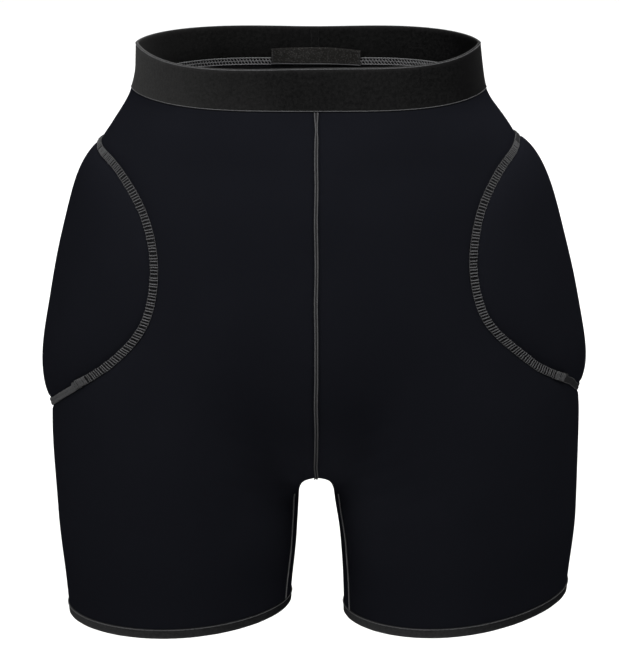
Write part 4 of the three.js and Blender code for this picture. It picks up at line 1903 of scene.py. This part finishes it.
    def seam(self) -> None:
        """Makes the flatlock seam, whose last end lies folded over its flared first end.
        """
        turns, lengths = self.round_trip(self.seam_kind.pitch / 2)
        left = lengths[-1] - lengths
        turned = np.degrees(turns) % 360
        start = bump(lengths, 0, 18)
        end = smooth(1 - left / self.knot_lap)
        tip = np.sqrt(np.clip(1 - (1 - left / self.knot_tip).clip(0, 1) ** 2, 0.03, 1))
        ear = bump(lengths, self.ear_at, self.ear_length)
        kink = bump(left, 30, 14) - bump(lengths, 18, 12)
        strays = wander(lengths, 0.25, 70, self.leg.sign + 3)
        sway = 0.5 * start - 0.4 * end + self.leg.knot_kink * kink + strays
        slim = 0.2 * smooth((90 - lengths) / 30) + 0.3 * bump(lengths, 3.6, 1.3)
        slim = slim + 0.35 * bump(turned, 100, 24)
        inner = (1 - slim + 0.6 * ear) * tip
        outer = (1 - slim - 0.1 * ear) * tip
        raised = 1.5 * end - 0.8 * (1 - tip) + 0.35 * ear

        def line(offset: float) -> tuple[Array, Array]:
            """Gives the points and directions of a line beside the oval's edge.

            Args:
                offset: Distance outside the edge.

            Returns:
                The points and the directions.
            """
            share = self.share_at(turns, offset * (inner if offset < 0 else outer) + sway)
            points = self.form.point(self.leg, *self.place(turns, share))
            normals = self.form.normal(points)
            return points + normals * (self.dome(share) + raised)[:, None], normals

        skin = Skin()
        self.seam_kind.sew(skin, line, self.bars(turned, lengths), 17 + self.leg.sign)
        skin.piece(f"hip_seam_{self.leg.half.value}", [SEAM_GROUND, THREAD])

    def build(self) -> None:
        """Makes all pieces of this hip."""
        self.cover()
        self.pad()
        self.seam()


@dataclass
class LegPanel:
    """One half's stretch panel, from the waistband round the thigh down to the hem, open at the hip."""

    form: BodyForm
    leg: Leg
    hip: HipGuard
    wall: float = 1.6
    columns: int = 190
    rows_above: int = 130
    rows_below: int = 36
    crowd: float = 1.35
    spread: float = 0.72
    ripples: Ripples = Ripples(depth=0.22, length=70)
    pucker: Pucker = Pucker(depth=0.25, groove=0.6)
    seam_half: float = 1.55
    groin_depth: float = 0.22
    groin_pitch: float = 15
    groin_reach: float = 55
    seat_crease: float = 1.0
    # Painted light that lifts the shade at the fork, and painted shade towards the hem.
    fork_painted_light: float = 1.8
    fork_painted_light_width: float = 38
    fork_painted_light_height: float = 55
    hem_painted_shade: float = 0.8
    hem_painted_shade_reach: float = 75
    cut: Cut = Cut(width=490, length=390, filled=0.67)

    def grid(self) -> tuple[Array, Array]:
        """Lays out the panel's rows and columns.

        Returns:
            Angles from the side line and heights, by row and column.
        """
        crotch = self.form.crotch
        up = (1 - np.arange(self.rows_above) / self.rows_above) ** self.crowd
        heights = crotch + (PANEL_TOP - crotch) * up
        front, back = self.form.seam_angles(self.leg, heights)
        below = np.arange(self.rows_below + 1) / self.rows_below
        front = np.concatenate([front, np.full(len(below), -math.pi)])
        back = np.concatenate([back, np.full(len(below), math.pi)])
        u = np.linspace(0, 1, self.columns + 1)
        u = u - self.spread * np.sin(2 * math.pi * u) / (2 * math.pi)
        angle = front[:, None] + (back - front)[:, None] * u[None, :]
        end = self.leg.hem(angle[self.rows_above :]) + HEM_HEIGHT + GAP
        lower = crotch + (end - crotch) * (below[:, None] ** self.crowd)
        upper = np.broadcast_to(heights[:, None], (self.rows_above, self.columns + 1))
        return angle, np.concatenate([upper, lower])

    def open_hip(self, angle: Array, z: Array) -> tuple[Array, Array, list[Array]]:
        """Cuts the hip's oval out of the grid, with a clean edge.

        Args:
            angle: Angles by row and column.
            z: Heights by row and column.

        Returns:
            The angles and heights with the nearest points drawn onto the oval, and the faces that are left.
        """
        across, up, share = self.hip.locate(angle, z)
        edge = self.hip.share_at(np.arctan2(up, across), GAP)
        over = share - edge
        drawn = np.zeros(over.shape, bool)
        for axis in (0, 1):
            a = np.moveaxis(over, axis, 0)
            mark = np.moveaxis(drawn, axis, 0)
            passed = a[:-1] * a[1:] < 0
            nearer = np.abs(a[:-1]) <= np.abs(a[1:])
            mark[:-1] |= passed & nearer
            mark[1:] |= passed & ~nearer
        scale = np.where(drawn, edge / np.maximum(share, 1e-9), 1.0)
        angle = np.where(drawn, self.hip.angle(across * scale, up * scale), angle)
        z = np.where(drawn, self.hip.middle + self.hip.half_at(angle, up) * up * scale, z)
        state = np.where(drawn, 0, np.sign(over)).ravel()
        block = cells(*over.shape)
        sides = state[block]
        whole = block[(sides.min(axis=1) >= 0) & (sides.max(axis=1) > 0)]
        split = (sides.min(axis=1) < 0) & (sides.max(axis=1) > 0)
        outer = np.argmax(sides[split], axis=1)
        rows = np.arange(len(outer))
        corners = [block[split][rows, (outer + k) % 4] for k in (-1, 0, 1)]
        return angle, z, [whole, np.stack(corners, axis=1)]

    def folds(self, points: Array, angle: Array, z: Array) -> Array:
        """Gives the height of the panel's folds and gathers over the even form.

        Args:
            points: Points of the even form.
            angle: Angles from the side line.
            z: Heights.

        Returns:
            The height at each point.
        """
        across, up, share = self.hip.locate(angle, z)
        height = self.hip.drawn_in(np.arctan2(up, across), share)
        x = np.abs(points[..., 0])
        y = points[..., 1]
        rise = z - self.form.crotch
        height = height + self.pucker.at(x - self.seam_half, z) * smooth(rise / 8)
        near = bump(x, 20, self.groin_reach) * bump(rise, 10, self.groin_reach)
        wave = np.sin(2 * math.pi * (rise * 0.85 - x * 0.5) / self.groin_pitch)
        height = height + self.groin_depth * near * wave * smooth(-y / 60) * smooth(x / 14)
        crease = bump(rise - 0.0012 * (x - 90) ** 2, 6, 11)
        height = height - self.seat_crease * crease * smooth((y - 30) / 50) * smooth(x / 40)
        edges = smooth((PANEL_TOP - z) / 25) * smooth((z - self.leg.hem(angle) - HEM_HEIGHT) / 50)
        middle = smooth(x / 25)
        return height + self.ripples.at(points) * edges * np.where(rise > 0, middle, 1.0)

    def worn(self, points: Array, angle: Array, z: Array) -> Array:
        """Gives the painted light and shade on the cloth: painted light at the fork, painted shade towards
        the hem.

        Args:
            points: Points of the even form.
            angle: Angles from the side line.
            z: Heights.

        Returns:
            How much paler painted light makes each point, less than 0 under painted shade.
        """
        fork = bump(points[..., 0], 0, self.fork_painted_light_width) * bump(z, self.form.crotch, self.fork_painted_light_height)
        low = smooth(1 - (z - self.leg.hem(angle)) / self.hem_painted_shade_reach)
        return self.fork_painted_light * fork - self.hem_painted_shade * low

    def build(self) -> None:
        """Makes the panel."""
        angle, z, faces = self.open_hip(*self.grid())
        points = self.form.point(self.leg, angle, z)
        normals = self.form.normal(points)
        seam = np.zeros(z.shape, bool)
        seam[: self.rows_above + 1, [0, -1]] = True
        points[seam, 0] = GAP / 2 * self.leg.sign
        normals[seam, 0] = 0
        normals = unit(normals)
        lifted = points + normals * self.folds(points, angle, z)[..., None]
        weld = np.arange(z.size).reshape(z.shape)
        weld[self.rows_above :, -1] = weld[self.rows_above :, 0]
        steps = np.linalg.norm(np.diff(points, axis=1), axis=2)
        along = np.concatenate([np.zeros((len(z), 1)), np.cumsum(steps, axis=1)], axis=1)
        along = along - along[:, [self.columns // 2]]
        uv = cloth_places(along, z)
        inner = lifted - normals * self.wall
        skin = Skin()
        # Painted light at the fork and painted shade towards the hem, carried as the cloth's pale share.
        worn = self.worn(points, angle, z).ravel()
        skin.shell(lifted, inner, faces, uv, weld.ravel(), worn)
        skin.piece(f"leg_panel_{self.leg.half.value}", [CLOTH], self.cut)


@dataclass
class HemBand:
    """The folded binding round one leg opening, with its row of stitches."""

    form: BodyForm
    leg: Leg
    wall: float = 2.4
    proud: float = 0.5
    corner: float = 0.8
    # Painted light on the side of each binding that faces the wearer's right, painted shade on the other
    # side.
    painted_light_and_shade: float = 0.65
    edge_worn: float = 1.2
    stitch_height: float = 6.5
    stitches: StitchRow = StitchRow(pitch=3.3, radius=0.3, filled=0.92)
    columns: int = 300
    cut: Cut = Cut(width=13.5, length=455, hold=Hold.FOLDED)

    def even_angles(self, count: int) -> tuple[Array, float]:
        """Spaces angles evenly round the opening.

        Args:
            count: How many.

        Returns:
            The angles and the opening's length.
        """
        dense = np.linspace(-math.pi, math.pi, 720, endpoint=False)
        length = run_lengths(self.form.point(self.leg, dense, self.leg.hem(dense)), True)
        wanted = np.arange(count) * length[-1] / count
        return np.interp(wanted, length, np.append(dense, math.pi)), float(length[-1])

    def surface(self, angle: Array, up: Array, offset: Array) -> tuple[Array, Array]:
        """Places points on the binding.

        Args:
            angle: Angles from the side line.
            up: Heights over the hem's lower edge.
            offset: Distances out from the body form.

        Returns:
            The points and the directions away from the form.
        """
        points = self.form.point(self.leg, angle, self.leg.hem(angle) + up)
        normals = self.form.normal(points)
        return points + normals * offset[..., None], normals

    def build(self) -> None:
        """Makes the binding."""
        skin = Skin()
        angle, length = self.even_angles(self.columns)
        offsets, heights = rounded_loop(self.wall, HEM_HEIGHT, self.corner, 6, 4)
        up = heights[:, None] + 0 * angle[None, :]
        wave = 0.1 * np.sin(23 * angle) * np.sin(5 * angle + 1)
        offset = offsets[:, None] + self.proud + wave[None, :]
        points, _ = self.surface(angle[None, :] + 0 * up, up, offset)
        # Painted light where the binding faces the wearer's right, painted shade where it faces the left,
        # plus a worn lower edge.
        painted_light_and_shade = 0.35 - self.painted_light_and_shade * np.cos(angle) * self.leg.sign
        wear_and_painted_light = bump(heights, 0, self.edge_worn)[:, None] + painted_light_and_shade[None, :]
        skin.sweep(points, True, wear_and_painted_light)
        angle, _ = self.even_angles(self.stitches.count_for(length))
        even = np.full(len(angle), self.stitch_height)
        row, normals = self.surface(angle, even, np.full(len(angle), self.proud))
        self.stitches.sew(skin, row, normals)
        skin.piece(f"hem_band_{self.leg.half.value}", [BINDING, THREAD], self.cut)


@dataclass
class BodySeams:
    """The seam down the front, under the fork and up the back, and the seams inside the legs."""

    form: BodyForm
    inseam_angle: float = -162
    inseam_start: float = 7
    hub_z: float = -160
    fork_reach: float = 16
    fork_slim: float = 0.4
    fork_sink: float = 0.6
    centre_kind: Flatlock = Flatlock(width=2.7, pitch=1.6, low=-0.9, high=0.6, rail=0.42)
    inseam_kind: Flatlock = Flatlock(width=1.5, pitch=1.6, low=-0.4, high=0.5, rail=0.3)

    def centre_points(self, x: Array | float, way: Array) -> Array:
        """Finds points on the middle of the form, seen from the hub inside it.

        Args:
            x: Distance from the middle plane.
            way: Angles in the middle plane, from the back over the top.

        Returns:
            The points.
        """
        side = np.broadcast_to(np.asarray(x, float), way.shape)

        def outside(reach: Array) -> Array:
            """Tells how far a point along each ray lies outside the form."""
            return self.form.field(side, reach * np.cos(way), self.hub_z + reach * np.sin(way))

        reach = root(outside, np.zeros(way.shape), np.full(way.shape, FAR))
        return np.stack([side, reach * np.cos(way), self.hub_z + reach * np.sin(way)], axis=-1)

    def centre(self) -> None:
        """Makes the seam that runs from the waistband at the front to the waistband at the back."""
        zero = np.zeros(1)
        height = np.array([PANEL_TOP])
        rise = PANEL_TOP - self.hub_z
        front = math.atan2(rise, -float(self.form.depth(zero, height, -1)[0]))
        back = math.atan2(rise, float(self.form.depth(zero, height, 1)[0]))
        dense = np.linspace(front, back + 2 * math.pi, 900)
        length = run_lengths(self.centre_points(0.0, dense), False)
        count = 2 * round(length[-1] / self.centre_kind.pitch) + 1
        lengths = np.linspace(0, length[-1], count)
        ways = np.interp(lengths, length, dense)
        pinch = 1 + 0.25 * smooth(1 - lengths / 8) - 0.42 * bump(lengths, 12, 5)
        sway = wander(lengths, 0.3, 60, 7) * smooth(lengths / 15) * smooth((lengths[-1] - lengths) / 15)
        fork = bump(lengths, np.interp(1.5 * math.pi, ways, lengths), self.fork_reach)
        width = pinch - self.fork_slim * fork

        def line(offset: float) -> tuple[Array, Array]:
            """Gives the points and directions of a line beside the middle plane.

            Args:
                offset: Distance to the left of the plane.

            Returns:
                The points and the directions.
            """
            points = self.centre_points(offset * width + sway, ways)
            normals = unit(self.form.normal(points) * (0, 1, 1))
            return points - normals * self.fork_sink * fork[:, None], normals

        skin = Skin()
        self.centre_kind.sew(skin, line, np.full(count, Bars.NONE))
        skin.piece("centre_seam", [SEAM_GROUND, THREAD])

    def inseam(self, leg: Leg) -> None:
        """Makes the seam inside one leg.

        Args:
            leg: The leg.
        """
        middle = math.radians(self.inseam_angle)
        start = self.form.crotch - self.inseam_start
        radius = float(THIGH.at("front", np.array(start)))
        end = float(leg.hem(np.array(middle))) + HEM_HEIGHT + GAP
        count = 2 * round((start - end) / self.inseam_kind.pitch) + 1
        heights = np.linspace(start, end, count)

        def line(offset: float) -> tuple[Array, Array]:
            """Gives the points and directions at an offset round the leg."""
            points = self.form.point(leg, np.full(count, middle + offset / radius), heights)
            return points, self.form.normal(points)

        skin = Skin()
        self.inseam_kind.sew(skin, line, np.full(count, Bars.NONE))
        skin.piece(f"inseam_{leg.half.value}", [SEAM_GROUND, PALE_THREAD])

    def build(self) -> None:
        """Makes the centre seam and both inseams."""
        self.centre()
        for leg in LEGS:
            self.inseam(leg)


@dataclass(frozen=True)
class SoftLight:
    """A large soft lamp that faces the shorts, or a place of its own."""

    name: str
    place: tuple[float, float, float]
    wide: float
    tall: float
    power: float
    target: tuple[float, float, float] = (0.0, 0.0, -0.2)

    def hang(self) -> None:
        """Puts the lamp in the scene, turned to its target."""
        lamp = bpy.data.lights.new(self.name, "AREA")
        lamp.shape = "ELLIPSE"
        lamp.size = self.wide
        lamp.size_y = self.tall
        lamp.energy = self.power
        hung = bpy.data.objects.new(self.name, lamp)
        hung.location = self.place
        hung.rotation_euler = (Vector(self.target) - hung.location).to_track_quat("-Z", "Y").to_euler()
        bpy.context.scene.collection.objects.link(hung)


@dataclass
class Studio:
    """A pale room with soft light, and the camera.

    Attributes:
        floor_z: Height of the floor, with the waist as high over it as on a wearer, in metres.
    """

    floor_z: float = -1.0
    floor_reach: float = 14
    floor_colour: tuple[float, float, float] = (0.8, 0.8, 0.8)
    sky: float = 0.38
    camera_place: tuple[float, float, float] = (-0.00478, -3.75, 0.668)
    camera_pitch: float = 77.045
    lens: float = 289.96
    lights: tuple[SoftLight, ...] = (
        SoftLight("key_light", (-1.6, -0.8, 0.45), 0.9, 0.9, 11),
        SoftLight("front_light", (0.05, -0.7, 0.85), 1.8, 0.6, 24),
        SoftLight("side_light", (1.9, 0.5, 0.5), 0.9, 0.9, 6),
        SoftLight("rear_light", (0.1, 0.9, 0.95), 1.8, 0.6, 24),
        SoftLight("back_light", (0.0, 4.2, 1.9), 4.0, 4.0, 190, (0.0, 4.2, -1.0)),
    )

    def floor(self) -> None:
        """Lays the floor."""
        reach = self.floor_reach
        corners = [(-reach, -reach, 0), (reach, -reach, 0), (reach, reach, 0), (-reach, reach, 0)]
        mesh = bpy.data.meshes.new("floor")
        mesh.from_pydata(corners, [], [(0, 1, 2, 3)])
        laid = bpy.data.objects.new("floor", mesh)
        laid.location.z = self.floor_z
        paint = bpy.data.materials.new("Floor")
        paint.use_nodes = True
        shader = paint.node_tree.nodes["Principled BSDF"]
        shader.inputs["Base Color"].default_value = (*self.floor_colour, 1)
        shader.inputs["Roughness"].default_value = 0.9
        mesh.materials.append(paint)
        bpy.context.scene.collection.objects.link(laid)

    def camera(self) -> None:
        """Sets up the camera."""
        eye = bpy.data.cameras.new("camera")
        eye.lens = self.lens
        eye.sensor_width = 36
        eye.clip_end = 100
        stood = bpy.data.objects.new("camera", eye)
        stood.location = self.camera_place
        stood.rotation_euler = (math.radians(self.camera_pitch), 0, 0)
        bpy.context.scene.collection.objects.link(stood)
        bpy.context.scene.camera = stood

    def build(self) -> None:
        """Makes the room, its light and the camera."""
        self.camera()
        self.floor()
        for light in self.lights:
            light.hang()
        world = bpy.data.worlds.new("Pale room")
        world.use_nodes = True
        glow = world.node_tree.nodes["Background"]
        glow.inputs["Color"].default_value = (1, 1, 1, 1)
        glow.inputs["Strength"].default_value = self.sky
        bpy.context.scene.world = world
        bpy.context.scene.view_settings.view_transform = "Standard"


def main() -> None:
    """Builds the shorts and the studio, piece by piece."""
    logging.basicConfig(level=logging.INFO, format="%(message)s")
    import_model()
    form = BodyForm()
    Studio().build()
    Waistband(form).build()
    BodySeams(form).build()
    for leg in LEGS:
        hip = HipGuard(form, leg)
        hip.build()
        LegPanel(form, leg, hip).build()
        HemBand(form, leg).build()


if __name__ == "__main__":
    main()
